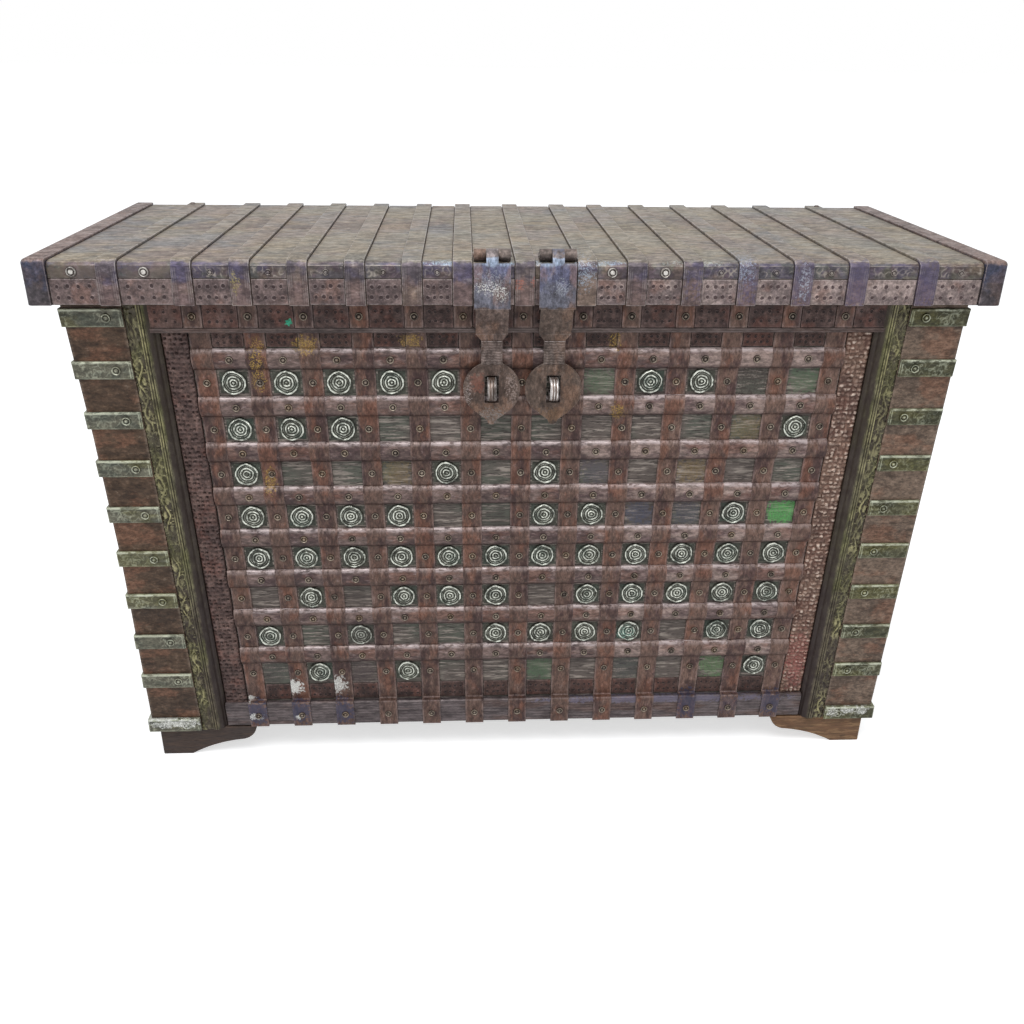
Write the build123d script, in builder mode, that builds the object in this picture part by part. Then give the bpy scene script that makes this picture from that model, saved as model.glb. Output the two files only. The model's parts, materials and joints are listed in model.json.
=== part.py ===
from build123d import *

import os
from math import cos, radians, sin

# A damchiya dowry chest: a flared plank chest on bracket feet, bound all over with iron straps.
#
# The front carries a lattice of upright straps with cushion-shaped cross straps halved over
# them, brass rosettes in the openings, rounded pilasters and plates between the straps.  The
# lid turns on two rear hinges.  Two hasps turn on its front edge and drop over staples.
#
# Millimetres.  X runs to the right, Y from front to back, Z up from the floor.

os.makedirs("parts", exist_ok=True)

# ------------------------------------------------------------------ driving dimensions
# Overall form
lid_width = 1500.0
lid_depth = 580.0
chest_height = 940.0
lid_height = 70.0
foot_height = 60.0
lid_side_overhang = 36.5
side_flare = 29.5
side_hollow = 8.25
board_face_setback = 29.0

# Boards
wall_thickness = 25.0
floor_thickness = 25.0
lid_board_thickness = 28.0
lid_plank_count = 4
plank_gap = 1.0
stile_thickness = 16.0
stile_width_top = 94.8
stile_width_bottom = 89.3
top_rail_height = 46.0
top_rail_thickness = 12.0
rail_bead_height = 7.0
rail_bead_proud = 3.0
rail_bead_slope = 3.0
top_rail_drop = 4.0
bottom_rail_height = 50.0
bottom_rail_thickness = 12.0
bottom_rail_chamfer = 3.0
bottom_rail_lift = 2.0
border_width = 38.0
border_gap = 1.5
border_thickness = 6.0
border_chamfer = 2.0

# Carved pilasters, measured outwards from the edge next to the border
pilaster_groove = 4.0
bead_width = 27.0
bead_edge = 8.0
bead_proud = 21.0
bead_crest = 12.0
bead_step = 3.0
band_width = 20.0
band_proud = 19.0
band_chamfer = 3.0

# Lattice on the front
upright_count = 13
upright_width = 34.0
upright_thickness = 3.0
cross_pitch = 80.0
cross_height = 34.0
cross_edge = 5.0
cross_crest = 11.0
first_cross_drop = 45.0
last_cross_rise = 90.0  # least room above the bottom rail
lap_clearance = 0.2

# Rosettes: the columns that still hold one, row by row from the top
rosette_margin = 2.5
rosette_height = 5.0
rosette_sides = 8
rosette_columns = {
    1: (1, 2, 3, 4, 5, 9, 10),
    2: (1, 2, 3, 12),
    3: (1, 5, 7),
    4: (1, 2, 3, 4, 7, 8, 11),
    5: (1, 2, 3, 4, 5, 6, 7, 8, 9, 10, 11, 12),
    6: (2, 4, 5, 6, 8, 9, 10, 11, 12),
    7: (1, 3, 6, 7, 8, 9, 11, 12),
    8: (2, 4, 12),
}

# Straps that wrap the corners
corner_strap_count = 9
corner_strap_height = 29.0
corner_strap_thickness = 4.0
corner_strap_drop = 10.0
corner_strap_gap = 1.0
corner_strap_return = 45.0
base_strap_height = 28.0
base_strap_thickness = 6.0
skin_gap = 0.2

# Ironwork of the lid
sheet_thickness = 2.0
lid_strap_thickness = 6.0
lid_strap_width = 30.0
lid_strap_pairs = 6
hasp_side_gap = 2.0
outer_strap_inset = 88.0
outer_strap_gap = 110.0
edge_iron_width = 36.0
edge_round = 8.0
board_round = 10.0
edge_facets = 3
sheet_drop = 29.0
seam_gap = 1.0
rail_strap_thickness = 3.0
rail_strap_chamfer = 1.0
rim_lip = 8.0

# Plates between the straps
plate_thickness = 2.0
row_plate_height = 24.0
foot_plate_height = 33.0

# Hasps and staples
hasp_x = 50.0
hasp_plate_width = 56.0
hasp_shank_width = 51.0
hasp_thickness = 5.0
hasp_neck_width = 34.0
hasp_disc_radius = 46.0
hasp_disc_drop = 141.0
hasp_tail_length = 60.0
hasp_tail_round = 8.0
hasp_tail_root = 48.0
hasp_tail_lap = 6.0
hasp_kink_drop = 4.0
hasp_shoulder_drop = 50.0
hasp_shoulder_height = 10.0
hasp_clearance = 1.0
hasp_swing_gap = 7.0
slot_width = 23.0
slot_height = 46.0
barrel_radius = 9.0
barrel_setback = 14.0
barrel_lift = 0.3
plate_drop = 1.0
notch_gap = 2.0
hasp_leaf_length = 30.0
leaf_thickness = 3.0
hasp_pin_radius = 3.5
pin_clearance = 0.25
pin_overhang = 2.0
staple_width = 14.0
staple_height = 36.0
staple_lift = 2.0
staple_bar = 8.0
staple_reach = 26.0

# Rear hinges
hinge_width = 60.0
hinge_chest_leaf = 130.0
hinge_lid_leaf = 55.0
knuckle_radius = 7.0
knuckle_gap = 0.5
leaf_gap = 1.0
rear_pin_radius = 3.0
lid_seat_gap = 0.5

# Bracket feet
foot_inset = 10.0
foot_length = 180.0
foot_pad = 55.0
foot_knee = 150.0
foot_knee_rise = 31.0
foot_belly_rise = 21.0
foot_nose_reach = 21.0
foot_nose_rise = 9.0
foot_thickness = 36.0
foot_setback = 4.0

# ------------------------------------------------------------------ places worked out
# The box round the whole chest is centred on Y, from the hasp plates to the rear knuckles.
front_reach = hasp_clearance + hasp_thickness
rear_reach = knuckle_gap + 2 * knuckle_radius
lid_front = (front_reach - rear_reach - lid_depth) / 2
lid_back = lid_front + lid_depth
joint_z = chest_height - lid_height
wall_top = joint_z - lid_seat_gap
body_height = wall_top - foot_height

board_face = lid_front + board_face_setback
wall_face = board_face + stile_thickness
wall_back = wall_face + wall_thickness
rear_wall_front = lid_back - wall_thickness

half_top = lid_width / 2 - lid_side_overhang
half_bottom = half_top - side_flare
half_middle = (half_top + half_bottom) / 2 - side_hollow
middle_z = foot_height + body_height / 2

top_rail_top = joint_z - top_rail_drop
top_rail_base = top_rail_top - top_rail_height
bottom_rail_base = foot_height + bottom_rail_lift
bottom_rail_top = bottom_rail_base + bottom_rail_height
top_rail_face = wall_face - top_rail_thickness
bottom_rail_face = wall_face - bottom_rail_thickness

trim_width = border_gap + border_width + pilaster_groove + bead_width + band_width
side_count = upright_count // 2
pitch_top = (half_top - stile_width_top - trim_width - upright_width / 2) / side_count
pitch_bottom = (half_bottom - stile_width_bottom - trim_width - upright_width / 2) / side_count
first_cross_z = top_rail_base - first_cross_drop
cross_room = first_cross_z - bottom_rail_top - last_cross_rise
cross_count = int(cross_room // cross_pitch) + 1
cross_levels = [first_cross_z - cross_pitch * row for row in range(cross_count)]
window_levels = [level - cross_pitch / 2 for level in cross_levels]

wood_half = lid_width / 2 - lid_strap_thickness
wood_front = lid_front + lid_strap_thickness
wood_top = chest_height - lid_strap_thickness
lid_board_base = wood_top - lid_board_thickness
sheet_top = wood_top + sheet_thickness
edge_iron_inner = lid_width / 2 - edge_iron_width

outer_strap_x = edge_iron_inner - outer_strap_inset
lid_strap_pitch = (outer_strap_x - outer_strap_gap) / lid_strap_pairs
inner_strap_x = hasp_x + (hasp_plate_width + lid_strap_width) / 2 + hasp_side_gap
outer_places = [lid_strap_pitch * step for step in range(2, lid_strap_pairs + 1)]
strap_places = [0.0, inner_strap_x] + outer_places
rail_strap_xs = sorted({side * place for place in strap_places for side in (-1, 1)})
lid_strap_xs = [-outer_strap_x] + rail_strap_xs + [outer_strap_x]


def pitch_at(level):
    """Distance between the uprights at a height: the field narrows towards the floor."""
    rise = (level - bottom_rail_top) / (top_rail_base - bottom_rail_top)
    return pitch_bottom + (pitch_top - pitch_bottom) * rise


def border_inner(level):
    """Inner edge of the pierced border, just clear of the last upright."""
    return side_count * pitch_at(level) + upright_width / 2 + border_gap


def pilaster_inner(level):
    """Inner edge of the pilaster, past the border and a groove."""
    return border_inner(level) + border_width + pilaster_groove


def band_outer(level):
    """Outer edge of the pilaster, where the corner boards and straps begin."""
    return pilaster_inner(level) + bead_width + band_width


def front_plane(depth):
    """A plane facing the viewer at a depth: X to the right, Z up, extrusions come forward."""
    return Plane.XZ.offset(-depth)


def leaning(low, high, low_z, high_z):
    """Corners of a strip that leans from one pair of edges to another."""
    return [(low[0], low_z), (low[1], low_z), (high[1], high_z), (high[0], high_z)]


def save(part, name):
    """Label one finished piece and write it."""
    part.label = name
    export_step(part, f"parts/{name}.step")


def side_line(shift, side):
    """One hollow side edge of the chest, moved outwards by a shift."""
    return ThreePointArc(
        (side * (half_bottom + shift), foot_height),
        (side * (half_middle + shift), middle_z),
        (side * (half_top + shift), wall_top),
    )


def upright_edges(number, level, clearance=0.0):
    """Left and right edge of one upright at a height."""
    middle = (number - side_count) * pitch_at(level)
    reach = upright_width / 2 + clearance
    return (middle - reach, middle + reach)


# ------------------------------------------------------------------ the plank chest
for name, back_face in (("front_wall", wall_back), ("back_wall", lid_back)):
    with BuildPart() as end_wall:
        with BuildSketch(front_plane(back_face)):
            with BuildLine():
                right = side_line(0, 1)
                left = side_line(0, -1)
                Line(right @ 1, left @ 1)
                Line(right @ 0, left @ 0)
            make_face()
        extrude(amount=wall_thickness)
    save(end_wall.part, name)

for name, side in (("side_wall_left", -1), ("side_wall_right", 1)):
    with BuildPart() as side_wall:
        with BuildSketch(front_plane(rear_wall_front)):
            with BuildLine():
                outer = side_line(0, side)
                inner = side_line(-wall_thickness, side)
                Line(outer @ 1, inner @ 1)
                Line(outer @ 0, inner @ 0)
            make_face()
        extrude(amount=rear_wall_front - wall_back)
    save(side_wall.part, name)

inside_half = half_bottom - wall_thickness - skin_gap
with BuildPart() as floor_board:
    with BuildSketch(Plane.XY.offset(foot_height)):
        with Locations((0, (wall_back + rear_wall_front) / 2)):
            Rectangle(2 * inside_half, rear_wall_front - wall_back)
    extrude(amount=floor_thickness)
save(floor_board.part, "floor_board")

# ------------------------------------------------------------------ corner boards and mouldings
for name, side in (("stile_left", -1), ("stile_right", 1)):
    with BuildPart() as stile:
        with BuildSketch(front_plane(wall_face)):
            with BuildLine():
                edge = side_line(0, side)
                top_in = (side * (band_outer(wall_top) + skin_gap), wall_top)
                low_in = (side * (band_outer(foot_height) + skin_gap), foot_height)
                Line(edge @ 1, top_in)
                Line(top_in, low_in)
                Line(low_in, edge @ 0)
            make_face()
        extrude(amount=stile_thickness)
    save(stile.part, name)


def pilaster_lean(base, top, side):
    """Direction of a moulding that follows the leaning edge of the field."""
    return Vector(side * (pilaster_inner(top) - pilaster_inner(base)), 0, top - base)


for name, side in (("pilaster_left", -1), ("pilaster_right", 1)):
    with BuildPart() as pilaster:
        start = pilaster_inner(foot_height)
        lean = pilaster_lean(foot_height, top_rail_base, side)
        with BuildSketch(Plane.XY.offset(foot_height)):
            with BuildLine():
                foot_in = (side * start, wall_face)
                bead_in = (side * start, wall_face - bead_edge)
                crest = (side * (start + bead_crest), wall_face - bead_proud)
                step_face = wall_face - bead_edge - bead_step
                bead_out = (side * (start + bead_width - bead_step), step_face)
                step_out = (side * (start + bead_width), step_face)
                foot_out = (side * (start + bead_width), wall_face)
                Line(foot_in, bead_in)
                ThreePointArc(bead_in, crest, bead_out)
                Polyline(bead_out, step_out, foot_out, foot_in)
            make_face()
        extrude(amount=lean.length, dir=lean.normalized())
        band_start = start + bead_width
        lean = pilaster_lean(foot_height, wall_top, side)
        with BuildSketch(Plane.XY.offset(foot_height)):
            with BuildLine():
                Polyline(
                    (side * band_start, wall_face),
                    (side * band_start, wall_face - band_proud + band_chamfer),
                    (side * (band_start + band_chamfer), wall_face - band_proud),
                    (side * (band_start + band_width - band_chamfer), wall_face - band_proud),
                    (side * (band_start + band_width), wall_face - band_proud + band_chamfer),
                    (side * (band_start + band_width), wall_face),
                    close=True,
                )
            make_face()
        extrude(amount=lean.length, dir=lean.normalized())
    save(pilaster.part, name)

rail_half = pilaster_inner(top_rail_base) + bead_width - skin_gap
with BuildPart() as top_rail:
    with BuildSketch(Plane.YZ.offset(-rail_half)):
        with BuildLine():
            Polyline(
                (wall_face, top_rail_base),
                (top_rail_face - rail_bead_proud, top_rail_base),
                (top_rail_face - rail_bead_proud, top_rail_base + rail_bead_height - rail_bead_slope),
                (top_rail_face, top_rail_base + rail_bead_height),
                (top_rail_face, top_rail_top),
                (wall_face, top_rail_top),
                close=True,
            )
        make_face()
    extrude(amount=2 * rail_half)
save(top_rail.part, "top_rail")

with BuildPart() as bottom_rail:
    with BuildSketch(front_plane(wall_face)):
        with BuildLine():
            low_half = pilaster_inner(bottom_rail_base) - skin_gap
            high_half = pilaster_inner(bottom_rail_top) - skin_gap
            corners = leaning(
                (-low_half, low_half), (-high_half, high_half), bottom_rail_base, bottom_rail_top
            )
            Polyline(*corners, close=True)
        make_face()
    extrude(amount=bottom_rail_thickness)
    front_edges = bottom_rail.edges().filter_by(Axis.X).group_by(Axis.Y)[0]
    chamfer(front_edges, bottom_rail_chamfer)
save(bottom_rail.part, "bottom_rail")

for name, side in (("pierced_border_left", -1), ("pierced_border_right", 1)):
    with BuildPart() as border:
        with BuildSketch(front_plane(wall_face)):
            with BuildLine():
                low = border_inner(bottom_rail_top)
                high = border_inner(top_rail_base)
                corners = leaning(
                    (side * low, side * (low + border_width)),
                    (side * high, side * (high + border_width)),
                    bottom_rail_top,
                    top_rail_base,
                )
                Polyline(*corners, close=True)
            make_face()
        extrude(amount=border_thickness)
        chamfer(border.faces().sort_by(Axis.Y)[0].edges(), border_chamfer)
    save(border.part, name)

# ------------------------------------------------------------------ the strap lattice
for number in range(upright_count):
    with BuildPart() as upright:
        with BuildSketch(Plane.YZ):
            with BuildLine():
                Polyline(
                    (bottom_rail_face, bottom_rail_base),
                    (bottom_rail_face - upright_thickness, bottom_rail_base),
                    (bottom_rail_face - upright_thickness, bottom_rail_top + upright_thickness),
                    (wall_face - upright_thickness, bottom_rail_top + upright_thickness),
                    (wall_face - upright_thickness, top_rail_base),
                    (wall_face, top_rail_base),
                    (wall_face, bottom_rail_top),
                    (bottom_rail_face, bottom_rail_top),
                    close=True,
                )
            make_face()
        extrude(amount=lid_width / 2, both=True)
        with BuildSketch(front_plane(wall_face)):
            with BuildLine():
                corners = leaning(
                    upright_edges(number, bottom_rail_base),
                    upright_edges(number, top_rail_base),
                    bottom_rail_base,
                    top_rail_base,
                )
                Polyline(*corners, close=True)
            make_face()
        extrude(amount=stile_thickness, mode=Mode.INTERSECT)
    save(upright.part, f"upright_strap_{number + 1:02d}")

for row, level in enumerate(cross_levels):
    low_z = level - cross_height / 2
    high_z = level + cross_height / 2
    cross_half = upright_edges(upright_count - 1, low_z)[1]
    with BuildPart() as cross:
        with BuildSketch(Plane.YZ.offset(-cross_half)):
            with BuildLine():
                Polyline(
                    (wall_face - cross_edge, low_z),
                    (wall_face, low_z),
                    (wall_face, high_z),
                    (wall_face - cross_edge, high_z),
                )
                ThreePointArc(
                    (wall_face - cross_edge, high_z),
                    (wall_face - cross_crest, level),
                    (wall_face - cross_edge, low_z),
                )
            make_face()
        extrude(amount=2 * cross_half)
        with BuildSketch(front_plane(wall_face)):
            for number in range(upright_count):
                with BuildLine():
                    corners = leaning(
                        upright_edges(number, low_z, lap_clearance),
                        upright_edges(number, high_z, lap_clearance),
                        low_z,
                        high_z,
                    )
                    Polyline(*corners, close=True)
                make_face()
        extrude(amount=upright_thickness + lap_clearance, mode=Mode.SUBTRACT)
    save(cross.part, f"cross_strap_{row + 1}")

rosette_diameter = cross_pitch - cross_height - 2 * rosette_margin
rosette_places = [
    ((column - upright_count / 2) * pitch_at(window_levels[row - 1]), window_levels[row - 1])
    for row, columns in rosette_columns.items()
    if row <= cross_count
    for column in columns
]
with BuildPart() as rosettes:
    with BuildSketch(front_plane(wall_face)):
        with Locations(*rosette_places):
            RegularPolygon(rosette_diameter / 2, rosette_sides)
    extrude(amount=rosette_height)
save(rosettes.part, "rosettes")

# ------------------------------------------------------------------ plates between straps
def plate_row(depth, plates):
    """Thin plates nailed on at a depth, each one (middle, width, height, level)."""
    with BuildPart() as row:
        with BuildSketch(front_plane(depth)):
            for middle, width, height, level in plates:
                with Locations((middle, level)):
                    Rectangle(width, height)
        extrude(amount=plate_thickness)
    return row.part


def between(places, strap_width, level, height):
    """One plate in each space between straps at the given places."""
    plates = []
    for left, right in zip(places, places[1:]):
        width = right - left - strap_width - 2 * seam_gap
        plates.append(((left + right) / 2, width, height, level))
    return plates


rail_plate_height = top_rail_height - rail_bead_height - 2 * seam_gap
rail_plate_z = top_rail_top - seam_gap - rail_plate_height / 2
rail_ends = [-rail_half - lid_strap_width / 2, rail_half + lid_strap_width / 2]
rail_places = [rail_ends[0]] + rail_strap_xs + [rail_ends[1]]
upper_z = (top_rail_base + first_cross_z + cross_height / 2) / 2
lower_z = bottom_rail_top + upright_thickness + foot_plate_height / 2
rail_row = between(rail_places, lid_strap_width, rail_plate_z, rail_plate_height)
plate_rows = [(top_rail_face, rail_row)]
for level, height in ((upper_z, row_plate_height), (lower_z, foot_plate_height)):
    places = [number * pitch_at(level) for number in range(-side_count, side_count + 1)]
    plate_rows.append((wall_face, between(places, upright_width, level, height)))
with BuildPart() as pierced_plates:
    for depth, plates in plate_rows:
        add(plate_row(depth, plates))
save(pierced_plates.part, "pierced_plates")

with BuildPart() as rail_straps:
    with BuildSketch(front_plane(top_rail_face)):
        with Locations(*[(place, rail_plate_z) for place in rail_strap_xs]):
            Rectangle(lid_strap_width, rail_plate_height)
    extrude(amount=rail_strap_thickness)
    long_edges = rail_straps.edges().filter_by(Axis.Z).group_by(Axis.Y)[0]
    chamfer(long_edges, rail_strap_chamfer)
save(rail_straps.part, "rail_straps")

# ------------------------------------------------------------------ straps round the corners
strap_bottom = foot_height + base_strap_height
first_corner_z = joint_z - corner_strap_drop - corner_strap_height / 2
strap_step = (first_corner_z - strap_bottom) / corner_strap_count
corner_levels = [first_corner_z - strap_step * row for row in range(corner_strap_count)]
base_level = foot_height + base_strap_height / 2


def corner_wrap(side, thickness, levels, height):
    """Bands that start at the pilaster, run round the side and end on the back."""
    with BuildPart() as wrap:
        with BuildSketch(front_plane(lid_back + skin_gap + thickness)):
            with BuildLine():
                edge = side_line(skin_gap + thickness, side)
                top_in = (side * (band_outer(wall_top) + corner_strap_gap), wall_top)
                low_in = (side * (band_outer(foot_height) + corner_strap_gap), foot_height)
                Polyline(edge @ 1, top_in, low_in, edge @ 0)
            make_face()
        extrude(amount=lid_back - board_face + 2 * (skin_gap + thickness))
        with BuildSketch(front_plane(lid_back + skin_gap)):
            with BuildLine():
                right = side_line(skin_gap, 1)
                left = side_line(skin_gap, -1)
                Line(right @ 1, left @ 1)
                Line(right @ 0, left @ 0)
            make_face()
        extrude(amount=lid_back - board_face + 2 * skin_gap, mode=Mode.SUBTRACT)
        with BuildSketch(front_plane(lid_back + skin_gap + thickness)):
            with BuildLine():
                right = side_line(-corner_strap_return, 1)
                left = side_line(-corner_strap_return, -1)
                Line(right @ 1, left @ 1)
                Line(right @ 0, left @ 0)
            make_face()
        extrude(amount=thickness, mode=Mode.SUBTRACT)
        with BuildSketch(front_plane(lid_back + 2 * thickness)):
            with Locations(*[(0, level) for level in levels]):
                Rectangle(2 * (half_top + lid_side_overhang), height)
        extrude(amount=lid_depth + 2 * thickness, mode=Mode.INTERSECT)
    return wrap.part


for name, side in (("corner_straps_left", -1), ("corner_straps_right", 1)):
    with BuildPart() as corner_straps:
        add(corner_wrap(side, corner_strap_thickness, corner_levels, corner_strap_height))
        add(corner_wrap(side, base_strap_thickness, [base_level], base_strap_height))
    save(corner_straps.part, name)

# ------------------------------------------------------------------ bracket feet
foot_outer = half_bottom - foot_inset
foot_front = board_face + foot_setback
foot_back = lid_back - foot_setback


def bracket(corner, way):
    """Outline of an ogee bracket that runs from a corner, in the sketch's own X and Y."""

    def spot(reach, rise):
        return (corner + way * reach, rise)

    low_middle = spot((foot_pad + foot_knee) / 2, foot_belly_rise)
    high_middle = spot(foot_knee + foot_nose_reach, foot_knee_rise + foot_nose_rise)
    with BuildLine() as outline:
        Polyline(spot(foot_length, foot_height), spot(0, foot_height), spot(0, 0), spot(foot_pad, 0))
        ThreePointArc(spot(foot_pad, 0), low_middle, spot(foot_knee, foot_knee_rise))
        ThreePointArc(
            spot(foot_knee, foot_knee_rise), high_middle, spot(foot_length, foot_height)
        )
    return outline.line


for name, side, face, inward in (
    ("foot_front_left", -1, foot_front, 1),
    ("foot_front_right", 1, foot_front, 1),
    ("foot_back_left", -1, foot_back, -1),
    ("foot_back_right", 1, foot_back, -1),
):
    with BuildPart() as foot:
        with BuildSketch(front_plane(face)):
            add(bracket(side * foot_outer, -side))
            make_face()
        extrude(amount=-inward * foot_thickness)
        with BuildSketch(Plane.YZ.offset(side * foot_outer)):
            add(bracket(face, inward))
            make_face()
        extrude(amount=-side * foot_thickness)
    save(foot.part, name)

# ------------------------------------------------------------------ the lid boards
def eased_edge(radius):
    """Points round the lid's front top edge, from the top face down to the front face."""
    angles = [radians(90 + 90 * step / edge_facets) for step in range(edge_facets + 1)]
    return [
        (
            wood_front + board_round + radius * cos(angle),
            wood_top - board_round + radius * sin(angle),
        )
        for angle in angles
    ]


plank_depth = (lid_back - wood_front - (lid_plank_count - 1) * plank_gap) / lid_plank_count
with BuildPart() as lid_boards:
    with BuildSketch(Plane.YZ.offset(-wood_half)):
        with BuildLine():
            back = wood_front + plank_depth
            Polyline(
                *eased_edge(board_round),
                (wood_front, lid_board_base),
                (back, lid_board_base),
                (back, wood_top),
                close=True,
            )
        make_face()
        for plank in range(1, lid_plank_count):
            middle = back + plank_gap + plank_depth / 2 + (plank - 1) * (plank_depth + plank_gap)
            with Locations((middle, wood_top - lid_board_thickness / 2)):
                Rectangle(plank_depth, lid_board_thickness)
    extrude(amount=2 * wood_half)
save(lid_boards.part, "lid_boards")

rim_front_back = wall_back
rim_back_front = lid_back - wall_thickness
rim_side_inner = half_top - wall_thickness - rim_lip
rim_rise = lid_board_base - joint_z
for name, low, high in (
    ("lid_rim_front", (-wood_half, wood_front), (wood_half, rim_front_back)),
    ("lid_rim_back", (-wood_half, rim_back_front), (wood_half, lid_back)),
    ("lid_rim_left", (-wood_half, rim_front_back), (-rim_side_inner, rim_back_front)),
    ("lid_rim_right", (rim_side_inner, rim_front_back), (wood_half, rim_back_front)),
):
    with BuildPart() as rim:
        with BuildSketch(Plane.XY.offset(joint_z)):
            with Locations(((low[0] + high[0]) / 2, (low[1] + high[1]) / 2)):
                Rectangle(high[0] - low[0], high[1] - low[1])
        extrude(amount=rim_rise)
    save(rim.part, name)

# ------------------------------------------------------------------ iron on the lid
def ribbon(thickness, drop_z, rear):
    """Side outline of iron that lies on the lid and turns down over its rounded front edge."""
    with BuildLine() as outline:
        Polyline(
            (rear, wood_top),
            (rear, wood_top + thickness),
            *eased_edge(board_round + thickness),
            (wood_front - thickness, drop_z),
            (wood_front, drop_z),
            *reversed(eased_edge(board_round)),
            close=True,
        )
    return outline.line


lid_seam_y = (lid_front + lid_back) / 2
panel_ends = [-edge_iron_inner - lid_strap_width / 2, edge_iron_inner + lid_strap_width / 2]
panel_places = [panel_ends[0]] + lid_strap_xs + [panel_ends[1]]
with BuildPart() as lid_sheets:
    for left, right in zip(panel_places, panel_places[1:]):
        start = left + lid_strap_width / 2 + seam_gap
        width = right - left - lid_strap_width - 2 * seam_gap
        with BuildSketch(Plane.YZ.offset(start)):
            add(ribbon(sheet_thickness, chest_height - sheet_drop, lid_seam_y - seam_gap / 2))
            make_face()
        extrude(amount=width)
        with BuildSketch(Plane.YZ.offset(start)):
            with Locations(((lid_seam_y + lid_back + seam_gap / 2) / 2, wood_top + sheet_thickness / 2)):
                Rectangle(lid_back - lid_seam_y - seam_gap / 2, sheet_thickness)
        extrude(amount=width)
save(lid_sheets.part, "lid_sheets")

with BuildPart() as lid_straps:
    for place in lid_strap_xs:
        with BuildSketch(Plane.YZ.offset(place - lid_strap_width / 2)):
            add(ribbon(lid_strap_thickness, joint_z, lid_back))
            make_face()
        extrude(amount=lid_strap_width)
save(lid_straps.part, "lid_straps")

rim_plate_top = chest_height - sheet_drop - seam_gap
rim_plate_height = rim_plate_top - joint_z - seam_gap
rim_plate_z = rim_plate_top - rim_plate_height / 2
rim_row = between(panel_places, lid_strap_width, rim_plate_z, rim_plate_height)
save(plate_row(wood_front, rim_row), "lid_rim_plates")

for name, side in (("lid_edge_iron_left", -1), ("lid_edge_iron_right", 1)):
    with BuildPart() as edge_iron:
        with BuildSketch(Plane.XY.offset(joint_z)):
            with Locations((side * (lid_width - edge_iron_width) / 2, (lid_front + lid_back) / 2)):
                Rectangle(edge_iron_width, lid_depth)
        extrude(amount=lid_height)
        outside = edge_iron.faces().sort_by(Axis.X)[-1 if side > 0 else 0]
        corner = outside.edges().sort_by(Axis.Y)[0]
        long_edge = outside.edges().filter_by(Axis.Y).sort_by(Axis.Z)[-1]
        nose = edge_iron.edges().filter_by(Axis.X).group_by(Axis.Y)[0].sort_by(Axis.Z)[-1]
        fillet([corner, long_edge, nose], edge_round)
        with BuildSketch(Plane.YZ.offset(-wood_half)):
            with BuildLine():
                Polyline(
                    *eased_edge(board_round),
                    (wood_front, joint_z),
                    (lid_back, joint_z),
                    (lid_back, wood_top),
                    close=True,
                )
            make_face()
        extrude(amount=2 * wood_half, mode=Mode.SUBTRACT)
    save(edge_iron.part, name)

# ------------------------------------------------------------------ hasps on the front edge
barrel_y = lid_front + barrel_setback
barrel_z = sheet_top + barrel_radius + barrel_lift
barrel_length = hasp_plate_width / 3
hasp_back = lid_front - hasp_clearance
disc_z = joint_z - hasp_disc_drop
disc_back = wall_face - cross_crest - hasp_swing_gap
disc_front = disc_back - hasp_thickness
kink_top = joint_z - hasp_kink_drop
kink_base = joint_z - hasp_shoulder_drop
bend_outer = barrel_y - hasp_back + hasp_thickness
bend_z = barrel_z + barrel_radius - bend_outer
plate_top = barrel_z - barrel_radius - plate_drop
hasp_tail_z = disc_z - hasp_tail_length + hasp_tail_round


def hasp_side():
    """Side outline of a hasp: round the barrel, down the lid edge and in towards the front."""
    with BuildLine() as outline:
        CenterArc((barrel_y, bend_z), bend_outer, 90, 90)
        Polyline(
            (hasp_back - hasp_thickness, bend_z),
            (hasp_back - hasp_thickness, kink_top),
            (disc_front, kink_base),
            (disc_front, disc_z - hasp_tail_length),
            (disc_back, disc_z - hasp_tail_length),
            (disc_back, kink_base),
            (hasp_back, kink_top),
            (hasp_back, bend_z),
        )
        CenterArc((barrel_y, bend_z), bend_outer - hasp_thickness, 90, 90)
        Line((barrel_y, bend_z + bend_outer - hasp_thickness), (barrel_y, bend_z + bend_outer))
    return outline.line


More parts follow.
